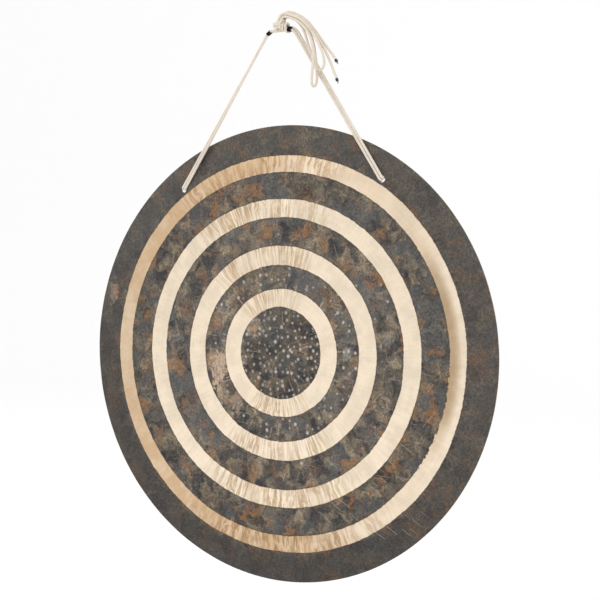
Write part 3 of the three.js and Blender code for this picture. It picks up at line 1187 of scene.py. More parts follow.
def smooth_route(points: Sequence[Point], step: float) -> np.ndarray:
    """Runs a centripetal spline through points and samples it evenly.

    Args:
        points: The points, in metres.
        step: The distance between samples.

    Returns:
        The samples, one row each, from the first point to the last.
    """
    knots = np.asarray(points, float)
    first = 2 * knots[0] - knots[1]
    last = 2 * knots[-1] - knots[-2]
    knots = np.vstack((first, knots, last))
    dense = []
    shares = np.linspace(0, 1, 24, endpoint=False)[:, None]
    for before, start, end, after in zip(knots, knots[1:], knots[2:], knots[3:]):
        gaps = [math.sqrt(np.linalg.norm(b - a)) for a, b in ((before, start), (start, end), (end, after))]
        t0, t1 = 0.0, gaps[0]
        t2, t3 = t1 + gaps[1], t1 + gaps[1] + gaps[2]
        t = t1 + (t2 - t1) * shares
        a1 = (t1 - t) / (t1 - t0) * before + (t - t0) / (t1 - t0) * start
        a2 = (t2 - t) / (t2 - t1) * start + (t - t1) / (t2 - t1) * end
        a3 = (t3 - t) / (t3 - t2) * end + (t - t2) / (t3 - t2) * after
        b1 = (t2 - t) / (t2 - t0) * a1 + (t - t0) / (t2 - t0) * a2
        b2 = (t3 - t) / (t3 - t1) * a2 + (t - t1) / (t3 - t1) * a3
        dense.append((t2 - t) / (t2 - t1) * b1 + (t - t1) / (t2 - t1) * b2)
    dense.append(knots[-2][None, :])
    line = np.vstack(dense)
    return resampled(line, max(2, round(route_length(line) / step)) + 1)


def route_length(route: np.ndarray) -> float:
    """Returns the length of a sampled route."""
    return float(travel(route)[-1])


@dataclass(frozen=True)
class CordStock:
    """The cord as it comes off the reel, and how finely it is modelled."""

    diameter: float = 0.004
    carriers: int = 8
    pick: float = 0.0021
    relief: float = 0.00016
    sides: int = 32
    step: float = 0.0005
    mean_bulge: float = 0.6
    cap_rings: int = 5
    cap_height_share: float = 0.5

    def sections(self, route: np.ndarray) -> tuple[np.ndarray, np.ndarray]:
        """Carries a frame along a route without twist.

        Args:
            route: The sampled route.

        Returns:
            Two unit vectors across the route at each sample.
        """
        tangents = np.gradient(route, axis=0)
        tangents /= np.linalg.norm(tangents, axis=1)[:, None]
        side = np.cross(tangents[0], (0.0, 1.0, 0.0))
        if np.linalg.norm(side) < 0.2:
            side = np.cross(tangents[0], (1.0, 0.0, 0.0))
        firsts = [side / np.linalg.norm(side)]
        for tangent in tangents[1:]:
            carried = firsts[-1] - np.dot(firsts[-1], tangent) * tangent
            firsts.append(carried / np.linalg.norm(carried))
        first = np.array(firsts)
        return first, np.cross(tangents, first)

    def braid_height(self, around: np.ndarray, along: np.ndarray) -> np.ndarray:
        """Finds the bulge of the braid's diamonds.

        Args:
            around: Places round the cord, in turns.
            along: Places along it, in picks.

        Returns:
            The bulge, from 0 to 1.
        """
        rising = np.abs(np.sin(math.pi * (around * self.carriers + along)))
        falling = np.abs(np.sin(math.pi * (around * self.carriers - along)))
        return np.sqrt(rising * falling)

    def cap(
        self, middle: np.ndarray, spokes: np.ndarray, outward: np.ndarray
    ) -> tuple[list[np.ndarray], np.ndarray]:
        """Rounds off one end of a tube.

        Args:
            middle: The end of its route.
            spokes: Unit vectors from there towards its sides.
            outward: The unit vector that points out of it.

        Returns:
            The cap's rings, from the tube outwards, and its pole.
        """
        radius = self.diameter / 2
        height = outward * radius * self.cap_height_share
        rings = []
        for ring in range(1, self.cap_rings):
            tilt = ring / self.cap_rings * RIGHT_ANGLE
            rings.append(middle + height * math.sin(tilt) + spokes * radius * math.cos(tilt))
        return rings, middle + height

    def skin(self, index: np.ndarray, closed: bool) -> list[list[int]]:
        """Joins the rings of a tube with faces.

        Args:
            index: The vertices' numbers, one row to a ring. The two poles of an open tube follow them.
            closed: Whether the last ring is joined to the first.

        Returns:
            The quads, ring by ring, and then the triangles round the poles.
        """
        nexts = np.roll(index, -1, axis=1)
        lower, upper = (index[:-1], nexts[:-1]), (index[1:], nexts[1:])
        if closed:
            lower, upper = (index, nexts), (np.roll(index, -1, axis=0), np.roll(nexts, -1, axis=0))
        faces = np.stack((*lower, upper[1], upper[0]), axis=-1).reshape(-1, 4).tolist()
        if not closed:
            faces += [[index.size, int(after), int(here)] for here, after in zip(index[0], nexts[0])]
            faces += [[index.size + 1, int(here), int(after)] for here, after in zip(index[-1], nexts[-1])]
        return faces

    def lay_map(self, mesh: bpy.types.Mesh, levels: list[float], closed: bool) -> None:
        """Lays a map on a tube that runs once round it and counts its picks.

        Args:
            mesh: The tube, its quads first, ring by ring.
            levels: How many picks along the tube each ring lies.
            closed: Whether the last ring is joined to the first.
        """
        rows = len(levels) if closed else len(levels) - 1
        low = np.array(levels[:rows])
        high = np.array((levels[1:] + levels[:1])[:rows])
        if closed:
            high[-1] = high[-2] + (low[-1] - low[-2])
        columns = np.arange(self.sides)
        quads = np.zeros((rows, self.sides, 4, 2))
        quads[..., 0] = np.stack((columns, columns + 1, columns + 1, columns), axis=-1) / self.sides
        quads[..., 0:2, 1] = low[:, None, None]
        quads[..., 2:4, 1] = high[:, None, None]
        triangles = np.zeros((len(mesh.loops) - quads.size // 2, 2))
        places = np.vstack((quads.reshape(-1, 2), triangles)).astype(np.float32)
        mesh.uv_layers.new(name="braid").data.foreach_set("uv", places.ravel())

    def tube(self, name: str, route: np.ndarray, closed: bool = False) -> bpy.types.Object:
        """Models a stretch of cord with its braid in relief.

        Args:
            name: The piece's name.
            route: The sampled route of its middle.
            closed: Whether the route is a ring.

        Returns:
            The piece, with a map named braid.
        """
        first, second = self.sections(route)
        around = np.arange(self.sides) / self.sides
        along = travel(route) / self.pick
        bulge = self.braid_height(around[None, :], along[:, None]) - self.mean_bulge
        angle = around * FULL_TURN
        spokes = first[:, None] * np.cos(angle)[None, :, None]
        spokes = spokes + second[:, None] * np.sin(angle)[None, :, None]
        rings = route[:, None] + spokes * (self.diameter / 2 + self.relief * bulge)[..., None]
        levels = along.tolist()
        poles = np.zeros((0, 3))
        if closed:
            rings, levels = rings[:-1], levels[:-1]
        else:
            head, head_pole = self.cap(route[0], spokes[0], -np.cross(first[0], second[0]))
            tail, tail_pole = self.cap(route[-1], spokes[-1], np.cross(first[-1], second[-1]))
            rings = np.concatenate((head[::-1], rings, tail))
            levels = levels[:1] * len(head) + levels + levels[-1:] * len(tail)
            poles = np.array((head_pole, tail_pole))
        vertices = np.vstack((rings.reshape(-1, 3), poles))
        index = np.arange(len(rings) * self.sides).reshape(len(rings), self.sides)
        mesh = bpy.data.meshes.new(name)
        mesh.from_pydata(vertices.tolist(), [], self.skin(index, closed))
        self.lay_map(mesh, levels, closed)
        mesh.polygons.foreach_set("use_smooth", np.ones(len(mesh.polygons), bool))
        mesh.update()
        piece = bpy.data.objects.new(name, mesh)
        bpy.context.scene.collection.objects.link(piece)
        return piece


def metres(points: Iterable[Point]) -> list[Point]:
    """Returns points given in millimetres in metres."""
    return [tuple(part * MILLIMETRE for part in point) for point in points]


# Suspension cord


@dataclass
class SuspensionCord:
    """The doubled cord: its stretch on the hook, its four leg strands and the two strands across the back."""

    disc: DiscSizes
    stock: CordStock
    pitch: float = 0.0043
    face_gap: float = 0.0003
    turn_radius: float = 0.003
    straight_step: float = 0.012
    saddle_height: float = 0.002
    saddle_left: float = -0.0115
    saddle_right: float = 0.0105
    bend_start: float = -0.2199
    bend_length: float = 0.0075
    crowns: dict[int, tuple[Point, ...]] = field(
        default_factory=lambda: {
            -1: (
                (-26.6, -8.1, -69), (-24.6, -5.0, -71), (-22.2, -2.3, -74), (-19.4, -0.2, -75),
                (-16.6, 1.6, -77), (-14.4, 2.2, -85), (-12.6, 2.0, -90), (-11.3, 2.0, -90),
            ),
            1: (
                (31.2, -8.0, -28), (28.8, -4.2, -30), (25.9, -0.8, -33), (22.2, 2.0, -37),
                (18.5, 2.7, -40), (14.8, 2.8, -44), (12.4, 2.2, -68), (11.0, 2.0, -90), (10.3, 2.0, -90),
            ),
        }
    )

    @property
    def plate_depth(self) -> float:
        """Depth of the plate's middle surface at the holes."""
        return self.disc.depth(self.disc.hole_reach)

    @property
    def plate_offset(self) -> float:
        """Distance from the plate's middle surface to the middle of a strand that lies on it."""
        return self.disc.thickness / 2 + self.face_gap + self.stock.diameter / 2

    @property
    def leg_depth(self) -> float:
        """Depth of the leg strands where they lie in front of the plate."""
        return self.plate_depth - self.plate_offset

    @property
    def rear_depth(self) -> float:
        """Depth of the strands across the back."""
        return self.plate_depth + self.plate_offset

    def crown(self, side: int) -> list[tuple[float, float, float]]:
        """Returns the bend over the hook on one side: x, z and the pair's twist."""
        return [(x * MILLIMETRE, z * MILLIMETRE, math.radians(twist)) for x, z, twist in self.crowns[side]]

    def direction(self, side: int) -> Vector:
        """Returns the way a leg runs from its hole up to its bend."""
        top_x, top_z, _ = self.crown(side)[0]
        return (Vector((top_x, 0, top_z)) - self.disc.hole(side)).normalized()

    def across(self, along: Vector, side: int, twist: float) -> Vector:
        """Returns the unit vector from the outer to the inner strand of a pair with a twist."""
        inward = Vector((-side * along.z, 0, side * along.x)).normalized()
        return inward * math.cos(twist) + Vector((0, math.sin(twist), 0))

    def hole_point(self, side: int, strand: int) -> Vector:
        """Returns where one strand of a pair runs through the plate."""
        offset = self.across(self.direction(side), side, 0) * (strand * self.pitch / 2)
        return self.disc.hole(side) + offset

    def leg_route(self, side: int, strand: int) -> list[Point]:
        """Lists the points of one leg strand.

        Args:
            side: -1 for the left leg and 1 for the right one.
            strand: -1 for the outer strand and 1 for the inner one.

        Returns:
            Points from inside the hole up to the stretch on the hook.
        """
        along = self.direction(side)
        hole = self.hole_point(side, strand)
        points = [Vector((hole.x, self.plate_depth, hole.z))]
        for angle in (RIGHT_ANGLE, RIGHT_ANGLE * 0.72, RIGHT_ANGLE * 0.44, RIGHT_ANGLE * 0.2):
            point = hole + along * self.turn_radius * (1 - math.sin(angle))
            point.y = self.leg_depth + self.turn_radius * (1 - math.cos(angle))
            points.append(point)
        crown = self.crown(side)
        top_x, top_z, top_twist = crown[0]
        foot = self.disc.hole(side) + Vector((0, self.leg_depth, 0)) + along * self.turn_radius
        top = Vector((top_x, 0, top_z))
        steps = round((top - foot).length / self.straight_step)
        stations = [(foot.lerp(top, step / steps), step / steps * top_twist) for step in range(steps)]
        stations += [(Vector((x, 0, z)), twist) for x, z, twist in crown]
        for place, (centre, twist) in enumerate(stations):
            before = stations[max(place - 1, 0)][0]
            after = stations[min(place + 1, len(stations) - 1)][0]
            heading = (after - before).normalized()
            points.append(centre + self.across(heading, side, twist) * (strand * self.pitch / 2))
        return [tuple(point) for point in points]

    def rear_route(self, strand: int) -> list[Point]:
        """Lists the points of one strand across the back.

        Args:
            strand: -1 for the upper strand and 1 for the lower one.

        Returns:
            Points from inside the left hole to inside the right one.
        """
        halves = []
        for side in (-1, 1):
            height = self.disc.hole(side).z - strand * self.pitch / 2
            hole = self.hole_point(side, strand)
            points = [Vector((hole.x, self.plate_depth, hole.z))]
            for step in range(5):
                angle = step / 4 * RIGHT_ANGLE
                share = math.sin(min(2 * angle, RIGHT_ANGLE))
                points.append(
                    Vector((
                        hole.x - side * self.turn_radius * (1 - math.cos(angle)),
                        self.rear_depth - self.turn_radius * (1 - math.sin(angle)),
                        hole.z + (height - hole.z) * share,
                    ))
                )
            halves.append(points)
        left, right = halves[0], halves[1][::-1]
        steps = round((right[0] - left[-1]).length / self.straight_step)
        straight = [left[-1].lerp(right[0], step / steps) for step in range(1, steps)]
        return [tuple(point) for point in (*left, *straight, *right)]

    def build(self, finish: bpy.types.Material) -> list[bpy.types.Object]:
        """Builds all stretches, and lets the stretch on the hook and the strands across the back ride.

        Args:
            finish: The cord's material.

        Returns:
            The pieces.
        """
        pieces = []
        hinge_line = (self.disc.hole(1) - self.disc.hole(-1)).normalized()
        bend_start = Vector((0, self.leg_depth, self.bend_start))
        for name, row in (("saddle_front_cord", -1), ("saddle_rear_cord", 1)):
            depth = row * self.pitch / 2
            ends = [(x, depth, self.saddle_height) for x in (self.saddle_left, 0.0, self.saddle_right)]
            piece = self.stock.tube(name, smooth_route(ends, self.stock.step))
            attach(piece, Body.SADDLE.value)
            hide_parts(name.replace("cord", "strand"))
            pieces.append(piece)
        for side_name, side in (("left", -1), ("right", 1)):
            for strand_name, strand in (("outer", -1), ("inner", 1)):
                name = f"{side_name}_{strand_name}_leg"
                route = smooth_route(self.leg_route(side, strand), self.stock.step)
                piece = self.stock.tube(name + "_cord", route)
                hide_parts(name)
                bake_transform(piece)
                pieces.append(piece)
        for name, strand in (("rear_upper", -1), ("rear_lower", 1)):
            route = smooth_route(self.rear_route(strand), self.stock.step)
            piece = self.stock.tube(name + "_cord", route)
            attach(piece, Body.DISC.value)
            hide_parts(name + "_strand")
            pieces.append(piece)
        for piece in pieces:
            piece.data.materials.append(finish)
        return pieces


# Loose ends


class FarEnd(str, Enum):
    """What is at the far end of a loose cord."""

    BARE = "bare"
    OBJECT = "object"


@dataclass(frozen=True)
class LooseCord:
    """One tail or bight of the slipped knot, on a route in millimetres."""

    name: str
    far_end: FarEnd
    route: tuple[Point, ...]


UPPER_TAIL = LooseCord(
    "upper_tail", FarEnd.BARE,
    (
        (0.5, 4.4, 20.6), (1.3, 4.4, 21.9), (3.0, 4.4, 24.8), (4.9, 4.4, 27.2), (7.9, 4.3, 29.2),
        (12.0, 4.1, 29.6), (17.0, 3.6, 28.6), (27.4, 2.6, 24.6), (37.7, 1.2, 18.9), (47.1, -0.5, 11.6),
        (56.8, -2.2, 1.8), (66.2, -4.0, -9.4), (74.8, -5.5, -20.3), (83.1, -6.8, -30.5),
        (90.3, -7.9, -39.2), (96.0, -8.8, -46.2), (98.9, -9.3, -50.6),
    ),
)

LOWER_TAIL = LooseCord(
    "lower_tail", FarEnd.BARE,
    (
        (0.5, 0.0, 20.6), (1.3, 0.0, 21.9), (3.0, 0.0, 24.4), (5.1, 0.0, 26.1), (8.2, -0.1, 27.4),
        (12.6, -0.4, 27.1), (21.2, -1.2, 24.2), (31.9, -2.5, 19.8), (41.6, -4.2, 14.4),
        (49.9, -6.0, 7.0), (58.2, -7.6, -2.1), (66.4, -9.0, -12.2), (73.9, -10.0, -22.7),
        (80.6, -10.8, -33.3), (86.3, -11.4, -43.6), (91.5, -12.0, -54.0), (96.0, -12.5, -64.3),
        (100.0, -13.0, -73.4), (102.5, -13.3, -79.2),
    ),
)

OUTER_BIGHT = LooseCord(
    "outer_bight", FarEnd.OBJECT,
    (
        (0.5, -4.4, 20.6), (1.3, -4.4, 21.9), (3.1, -4.4, 24.1), (5.4, -4.4, 25.5), (8.5, -4.5, 26.1),
        (13.3, -4.8, 25.2), (22.9, -6.0, 22.0), (32.9, -7.6, 17.7), (42.1, -9.2, 12.0),
        (50.5, -11.0, 4.7), (58.5, -12.8, -4.1), (66.1, -14.4, -13.7), (73.1, -16.0, -24.4),
        (79.3, -17.3, -35.5), (83.5, -18.2, -46.4), (84.8, -18.2, -55.8), (82.2, -17.2, -62.6),
        (76.2, -14.6, -65.4), (70.2, -12.1, -62.6), (67.8, -11.0, -54.7), (66.4, -10.8, -44.5),
        (65.1, -10.6, -35.5), (63.0, -10.2, -26.3), (59.8, -9.6, -17.0), (55.2, -8.6, -7.8),
        (48.9, -7.4, 0.8), (41.3, -5.8, 8.5), (32.4, -4.0, 14.6), (23.1, -2.2, 19.0),
        (16.0, -1.0, 21.3), (11.8, -0.4, 22.1), (9.0, -0.1, 22.2), (6.9, 0.0, 21.3), (5.2, 0.0, 19.6),
        (4.6, 0.0, 18.5),
    ),
)

LOWER_BIGHT = LooseCord(
    "lower_bight", FarEnd.OBJECT,
    (
        (4.6, 4.4, 18.5), (5.2, 4.4, 19.6), (6.9, 4.4, 21.3), (9.0, 4.4, 22.2), (11.9, 4.1, 22.1),
        (16.5, 3.5, 20.9), (24.4, 2.0, 16.8), (32.2, 0.2, 10.5), (39.1, -1.8, 2.5), (44.4, -4.0, -6.8),
        (48.6, -6.0, -16.5), (52.4, -7.2, -26.0), (56.2, -7.6, -35.5), (59.8, -7.7, -44.8),
        (63.4, -7.6, -54.2), (66.1, -7.4, -63.6), (66.9, -7.2, -72.6), (66.4, -7.2, -80.2),
        (65.9, -9.6, -86.4), (65.6, -15.4, -88.9), (65.9, -20.9, -86.4), (66.5, -23.1, -80.2),
        (67.2, -23.3, -71.4), (67.9, -23.3, -62.2), (68.5, -22.9, -53.0), (68.4, -22.2, -43.7),
        (67.2, -20.9, -34.5), (64.7, -19.1, -25.1), (60.5, -17.0, -15.5), (54.8, -14.8, -6.7),
        (47.8, -12.5, 1.4), (39.9, -10.2, 8.3), (31.2, -8.4, 13.7), (22.7, -6.8, 17.6),
        (15.4, -5.3, 20.2), (11.4, -4.7, 21.3), (8.8, -4.4, 21.7), (6.9, -4.4, 21.1), (5.2, -4.4, 19.6),
        (4.6, -4.4, 18.5),
    ),
)


@dataclass
class TailEnd:
    """Whipped and frayed end of a tail."""

    yarn: CordStock = CordStock(
        diameter=0.0010, sides=10, relief=0.00003, pick=0.0006, carriers=3, step=0.0004
    )
    wraps: int = 4
    wrap_steps: int = 20
    wrap_pitch: float = 0.0009
    gap: float = 0.0003
    root_radius: float = 0.00175
    tip_radius: float = 0.00190
    hairs: int = 70
    hair_sides: int = 3
    hair_radius: float = 0.00017
    hair_length: float = 0.0050
    hair_spread: float = 0.0016
    hair_sink: float = 0.0008

    def whip(self, tail: str, end: Vector, axes: Axes) -> bpy.types.Object:
        """Winds the thread round the end of the cord.

        Args:
            tail: The tail's name.
            end: Where the bare cord ends.
            axes: The way that it points, and two directions across it.

        Returns:
            The whipping.
        """
        along, across, third = axes
        turns = []
        steps = self.wraps * self.wrap_steps
        for step in range(steps + 1):
            share = step / steps
            radius = self.root_radius + (self.tip_radius - self.root_radius) * share
            height = self.gap + self.yarn.diameter / 2 + share * self.wraps * self.wrap_pitch
            outward = spoke(across, third, share * self.wraps * FULL_TURN)
            turns.append(tuple(end + along * height + outward * radius))
        return self.yarn.tube(tail + "_whipping_thread", smooth_route(turns, self.yarn.step))

    def fray(self, tail: str, end: Vector, axes: Axes, seed: int) -> bpy.types.Object:
        """Models the fibres that stand out of the whipping.

        Args:
            tail: The tail's name.
            end: Where the bare cord ends.
            axes: The way that it points, and two directions across it.
            seed: Seed of the random draws.

        Returns:
            The fray.
        """
        along, across, third = axes
        whipped = end + along * (self.gap + self.wraps * self.wrap_pitch + self.yarn.diameter / 2)
        draw = np.random.default_rng(seed)
        sides = self.hair_sides
        vertices: list[Vector] = []
        faces: list[list[int]] = []
        for _ in range(self.hairs):
            angle = draw.uniform(0, FULL_TURN)
            spread = draw.uniform(0, 1)
            outward = spoke(across, third, angle)
            root = end + along * self.gap * 2 + outward * spread * self.hair_spread
            lean = outward * draw.uniform(0.1, 0.75) * spread
            droop = Vector((0, 0, -draw.uniform(0, 0.25)))
            reach = self.hair_length * draw.uniform(0.35, 1.0)
            waist = whipped - along * self.hair_sink + (root - end) * 0.35
            middle = waist + (along + lean * 0.5).normalized() * reach * 0.5
            tip = middle + (along + lean + droop).normalized() * reach * 0.5
            low = len(vertices)
            faces.append([low + side for side in reversed(range(sides))])
            stations = ((root, 1.3), (waist, 1.3), (middle, 1.0), (tip, 0.5))
            for place, width in stations:
                for side in range(sides):
                    offset = spoke(across, third, side / sides * FULL_TURN) * self.hair_radius * width
                    vertices.append(place + offset)
            for _ in stations[1:]:
                for side in range(sides):
                    after = (side + 1) % sides
                    faces.append([low + side, low + after, low + after + sides, low + side + sides])
                low += sides
            faces.append([low + side for side in range(sides)])
        mesh = bpy.data.meshes.new(tail + "_fray")
        mesh.from_pydata([tuple(vertex) for vertex in vertices], [], faces)
        mesh.update()
        fray = bpy.data.objects.new(tail + "_fray", mesh)
        bpy.context.scene.collection.objects.link(fray)
        return fray

    def build(
        self, cord: bpy.types.Object, route: np.ndarray, finishes: tuple[bpy.types.Material, ...], seed: int
    ) -> list[bpy.types.Object]:
        """Builds the whipping and the fray of one tail.

        Args:
            cord: The tail's cord, whose name they take up.
            route: The sampled route of its middle.
            finishes: The thread's material and the fibres' material.
            seed: Seed of the fray's random draws.

        Returns:
            The whipping and the fray.
        """
        tail = cord.name.removesuffix("_cord")
        end = Vector(route[-1])
        along = Vector(route[-1] - route[-4]).normalized()
        across = along.cross(Vector((0, 1, 0))).normalized()
        axes = (along, across, along.cross(across))
        pieces = [self.whip(tail, end, axes), self.fray(tail, end, axes, seed)]
        for piece, finish in zip(pieces, finishes):
            piece.data.materials.append(finish)
        return pieces


@dataclass
class LooseEnds:
    """The two tails and the two bights that fall to the right of the knot."""

    stock: CordStock
    tail_end: TailEnd
    cords: tuple[LooseCord, ...] = (UPPER_TAIL, LOWER_TAIL, OUTER_BIGHT, LOWER_BIGHT)
    first_seed: int = 11
    path_stride: int = 6

    def build(
        self, finish: bpy.types.Material, end_finishes: tuple[bpy.types.Material, ...]
    ) -> list[bpy.types.Object]:
        """Args:
            finish: The cord's material.
            end_finishes: The whipping thread's material and the frayed fibres' material.

        Returns:
            The pieces.
        """
        pieces = []
        for seed, cord in enumerate(self.cords, start=self.first_seed):
            route = smooth_route(metres(cord.route), self.stock.step)
            piece = self.stock.tube(cord.name + "_cord", route)
            piece.data.materials.append(finish)
            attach(piece, Body.SUSPENSION.value)
            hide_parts(cord.name)
            on_it = []
            if cord.far_end is FarEnd.BARE:
                on_it = self.tail_end.build(piece, route, end_finishes, seed)
                for extra in on_it:
                    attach(extra, Body.SUSPENSION.value)
                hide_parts(cord.name + "_whipping")
            pieces += [piece, *on_it]
        return pieces


# Knot


@dataclass(frozen=True)
class KnotTurn:
    """A turn of cord in the knot, an oval in millimetres and degrees.

    The long way of the oval lies in the gong's plane, raised by the tilt, and its deep way is turned by the
    swivel. The opening is left out at the end of the long way. The turn dips towards its front and its back.
    """

    name: str
    x: float
    z: float
    long: float
    deep: float
    tilt: float
    swivel: float = 0.0
    opening: float = 0.0
    dip: float = 0.0


@dataclass
class HitchKnot:
    """The slipped knot, wound from doubled cord over the strands on the hook."""

    stock: CordStock
    turns: tuple[KnotTurn, ...] = (
        KnotTurn("lower_round", -1.6, 8.4, 8.8, 7.1, -4, 1, dip=2.6),
        KnotTurn("middle_round", -1.6, 10.6, 9.3, 7.0, -12, -6, dip=1.6),
        KnotTurn("upper_round", -1.0, 14.2, 7.6, 6.4, 13, 5, dip=0.4),
        KnotTurn("crossing", 1.6, 12.4, 6.0, 7.4, 52, 8),
        KnotTurn("near_wrap", 4.0, 5.4, 7.2, 7.4, -80, 5, 130),
        KnotTurn("inner_wrap", 7.9, 4.5, 7.9, 7.4, -88, 3, 110),
        KnotTurn("outer_wrap", 11.8, 3.7, 7.5, 7.3, -92, -3, 110),
    )
    core: tuple[Point, Point] = ((-0.9, 0.0, 11.2), (9.6, 6.8, 5.7))
    neck_starts: tuple[Point, ...] = (
        (0.5, -4.4, 20.6), (0.5, 0.0, 20.6), (0.5, 4.4, 20.6),
        (4.6, -4.4, 18.5), (4.6, 0.0, 18.5), (4.6, 4.4, 18.5),
    )
    neck_lean: float = 27.0
    neck_length: float = 9.0
    neck_squeeze_share: float = 0.75
    neck_bend_share: float = 0.45
    sway: float = 0.35
    turn_samples: int = 96
    pick_samples: int = 5

    def turn_route(self, turn: KnotTurn) -> np.ndarray:
        """Finds the route of one turn.

        Args:
            turn: The turn.

        Returns:
            Its sampled route, closed unless it has an opening.
        """
        half = math.radians(turn.opening) / 2
        angles = np.linspace(half, FULL_TURN - half, self.turn_samples)
        swing = self.sway * np.sin(3 * angles + turn.x) - turn.dip * np.sin(angles) ** 2
        oval = np.stack((np.cos(angles) * turn.long, np.sin(angles) * turn.deep, swing), axis=1)
        tilted = Matrix.Rotation(math.radians(-turn.tilt), 3, "Y")
        rotation = tilted @ Matrix.Rotation(math.radians(turn.swivel), 3, "X")
        return (oval @ np.array(rotation).T + np.array((turn.x, 0.0, turn.z))) * MILLIMETRE

    def neck_routes(self) -> list[np.ndarray]:
        """Lists the stretches that lead from inside the knot up to the tails and bights.

        Returns:
            Their sampled routes.
        """
        lean = math.radians(self.neck_lean)
        down = np.array((-math.sin(lean), 0.0, -math.cos(lean))) * self.neck_length
        squeeze = np.array((1.0, self.neck_squeeze_share, 1.0))
        routes = []
        for start in map(np.array, self.neck_starts):
            points = ((start + down) * squeeze, start + down * self.neck_bend_share, start)
            routes.append(smooth_route(metres(points), self.stock.step))
        return routes

    def build(self, finish: bpy.types.Material) -> bpy.types.Object:
        """Builds the knot as one piece.

        Args:
            finish: The cord's material.

        Returns:
            The knot.
        """
        loops = [
            self.stock.tube(f"knot_neck_{number}", route) for number, route in enumerate(self.neck_routes())
        ]
        for turn in self.turns:
            route = self.turn_route(turn)
            picks = max(1, round(route_length(route) / self.stock.pick))
            route = resampled(route, self.pick_samples * picks + 1)
            loops.append(self.stock.tube("knot_" + turn.name, route, closed=not turn.opening))
        centre, half = (Vector(part) * MILLIMETRE for part in self.core)
        bpy.ops.object.select_all(action="DESELECT")
        bpy.ops.mesh.primitive_uv_sphere_add(segments=32, ring_count=20, radius=1, location=centre)
        core = bpy.context.object
        bpy.ops.transform.resize(value=half)
        bpy.ops.object.transform_apply(location=True, rotation=True, scale=True)
        core.data.uv_layers[0].name = "braid"
        bpy.ops.object.shade_smooth()
        for loop in loops:
            loop.select_set(True)
        bpy.context.view_layer.objects.active = core
        bpy.ops.object.join()
        core.name = "hitch_knot_cord"
        core.data.name = core.name
        core.data.materials.clear()
        core.data.materials.append(finish)
        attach(core, Body.SUSPENSION.value)
        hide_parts("hitch_knot")
        return core


# Tape


@dataclass
class TapeBands:
    """The two bands of tape round the pairs beside the knot."""

    suspension: SuspensionCord
    width: float = 0.0070
    thickness: float = 0.0006
    clearance: float = 0.00015
    segments: int = 48
    cuts: int = 4
    slack: float = 0.00022
    ruffle: float = 0.00012
    swell_share: float = 0.045
    edge_round: float = 0.0001
    crease: float = math.radians(40)
    stations: tuple[tuple[str, int, int, float], ...] = (
        ("left_tape_band", -1, 3, 0.0), ("right_tape_band", 1, 4, 0.4),
    )

    def band(self, name: str, side: int, station: int, drawn: float) -> bpy.types.Object:
        """Models one band: an open cylinder pressed oval, thickened and softened.

        Args:
            name: The piece's name.
            side: -1 for the left band and 1 for the right one.
            station: Which point of the crown it sits at.
            drawn: How far it is drawn on towards the crown's next point, as a share.

        Returns:
            The piece.
        """
        crown = self.suspension.crown(side)
        x, z, twist = (
            here + (there - here) * drawn for here, there in zip(crown[station], crown[station + 1])
        )
        before, after = (
            Vector((crown[place][0], 0, crown[place][1])) for place in (station - 1, station + 1)
        )
        along = (after - before).normalized()
        across = self.suspension.across(along, side, twist)
        third = along.cross(across)
        radius = self.suspension.stock.diameter / 2 + self.clearance
        bpy.ops.object.select_all(action="DESELECT")
        bpy.ops.mesh.primitive_cylinder_add(
            vertices=self.segments,
            radius=radius,
            depth=self.width,
            end_fill_type="NOTHING",
            location=(0, 0, 0),
        )
        band = bpy.context.object
        for vertex in band.data.vertices:
            if abs(vertex.co.x) > 1e-6:
                vertex.co.x += math.copysign(self.suspension.pitch / 2, vertex.co.x)
        bpy.ops.object.mode_set(mode="EDIT")
        bpy.ops.mesh.select_all(action="SELECT")
        bpy.ops.mesh.subdivide(number_cuts=self.cuts)
        bpy.ops.object.mode_set(mode="OBJECT")
        for vertex in band.data.vertices:
            turn = math.atan2(vertex.co.y, vertex.co.x)
            vertex.co.z += self.slack * math.sin(2 * turn + side) + self.ruffle * math.sin(5 * turn)
            swell = self.swell_share * math.sin(3 * turn + 2 * side)
            swell = 1 + swell * math.cos(vertex.co.z / self.width * math.pi)
            vertex.co.x *= swell
            vertex.co.y *= swell
        solidify = band.modifiers.new("thickness", "SOLIDIFY")
        solidify.thickness = self.thickness
        solidify.offset = 1
        bevel = band.modifiers.new("edge", "BEVEL")
        bevel.width = self.edge_round
        bevel.segments = 2
        for modifier in ("thickness", "edge"):
            bpy.ops.object.modifier_apply(modifier=modifier)
        bpy.ops.object.shade_smooth_by_angle(angle=self.crease)
        basis = Matrix((across, third, along)).transposed().to_4x4()
        band.data.transform(Matrix.Translation((x, 0, z)) @ basis)
        band.name = name + "_wrap"
        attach(band, Body.SUSPENSION.value)
        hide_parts(name)
        return band

    def build(self, finish: bpy.types.Material) -> list[bpy.types.Object]:
        """Builds both bands.

        Args:
            finish: The tape's material.

        Returns:
            The bands.
        """
        bands = [self.band(*station) for station in self.stations]
        for band in bands:
            band.data.materials.append(finish)
        return bands


# Disc


class DiscFace(Enum):
    """The disc's material slots."""

    FRONT = 0
    BACK = 1
    RIM = 2


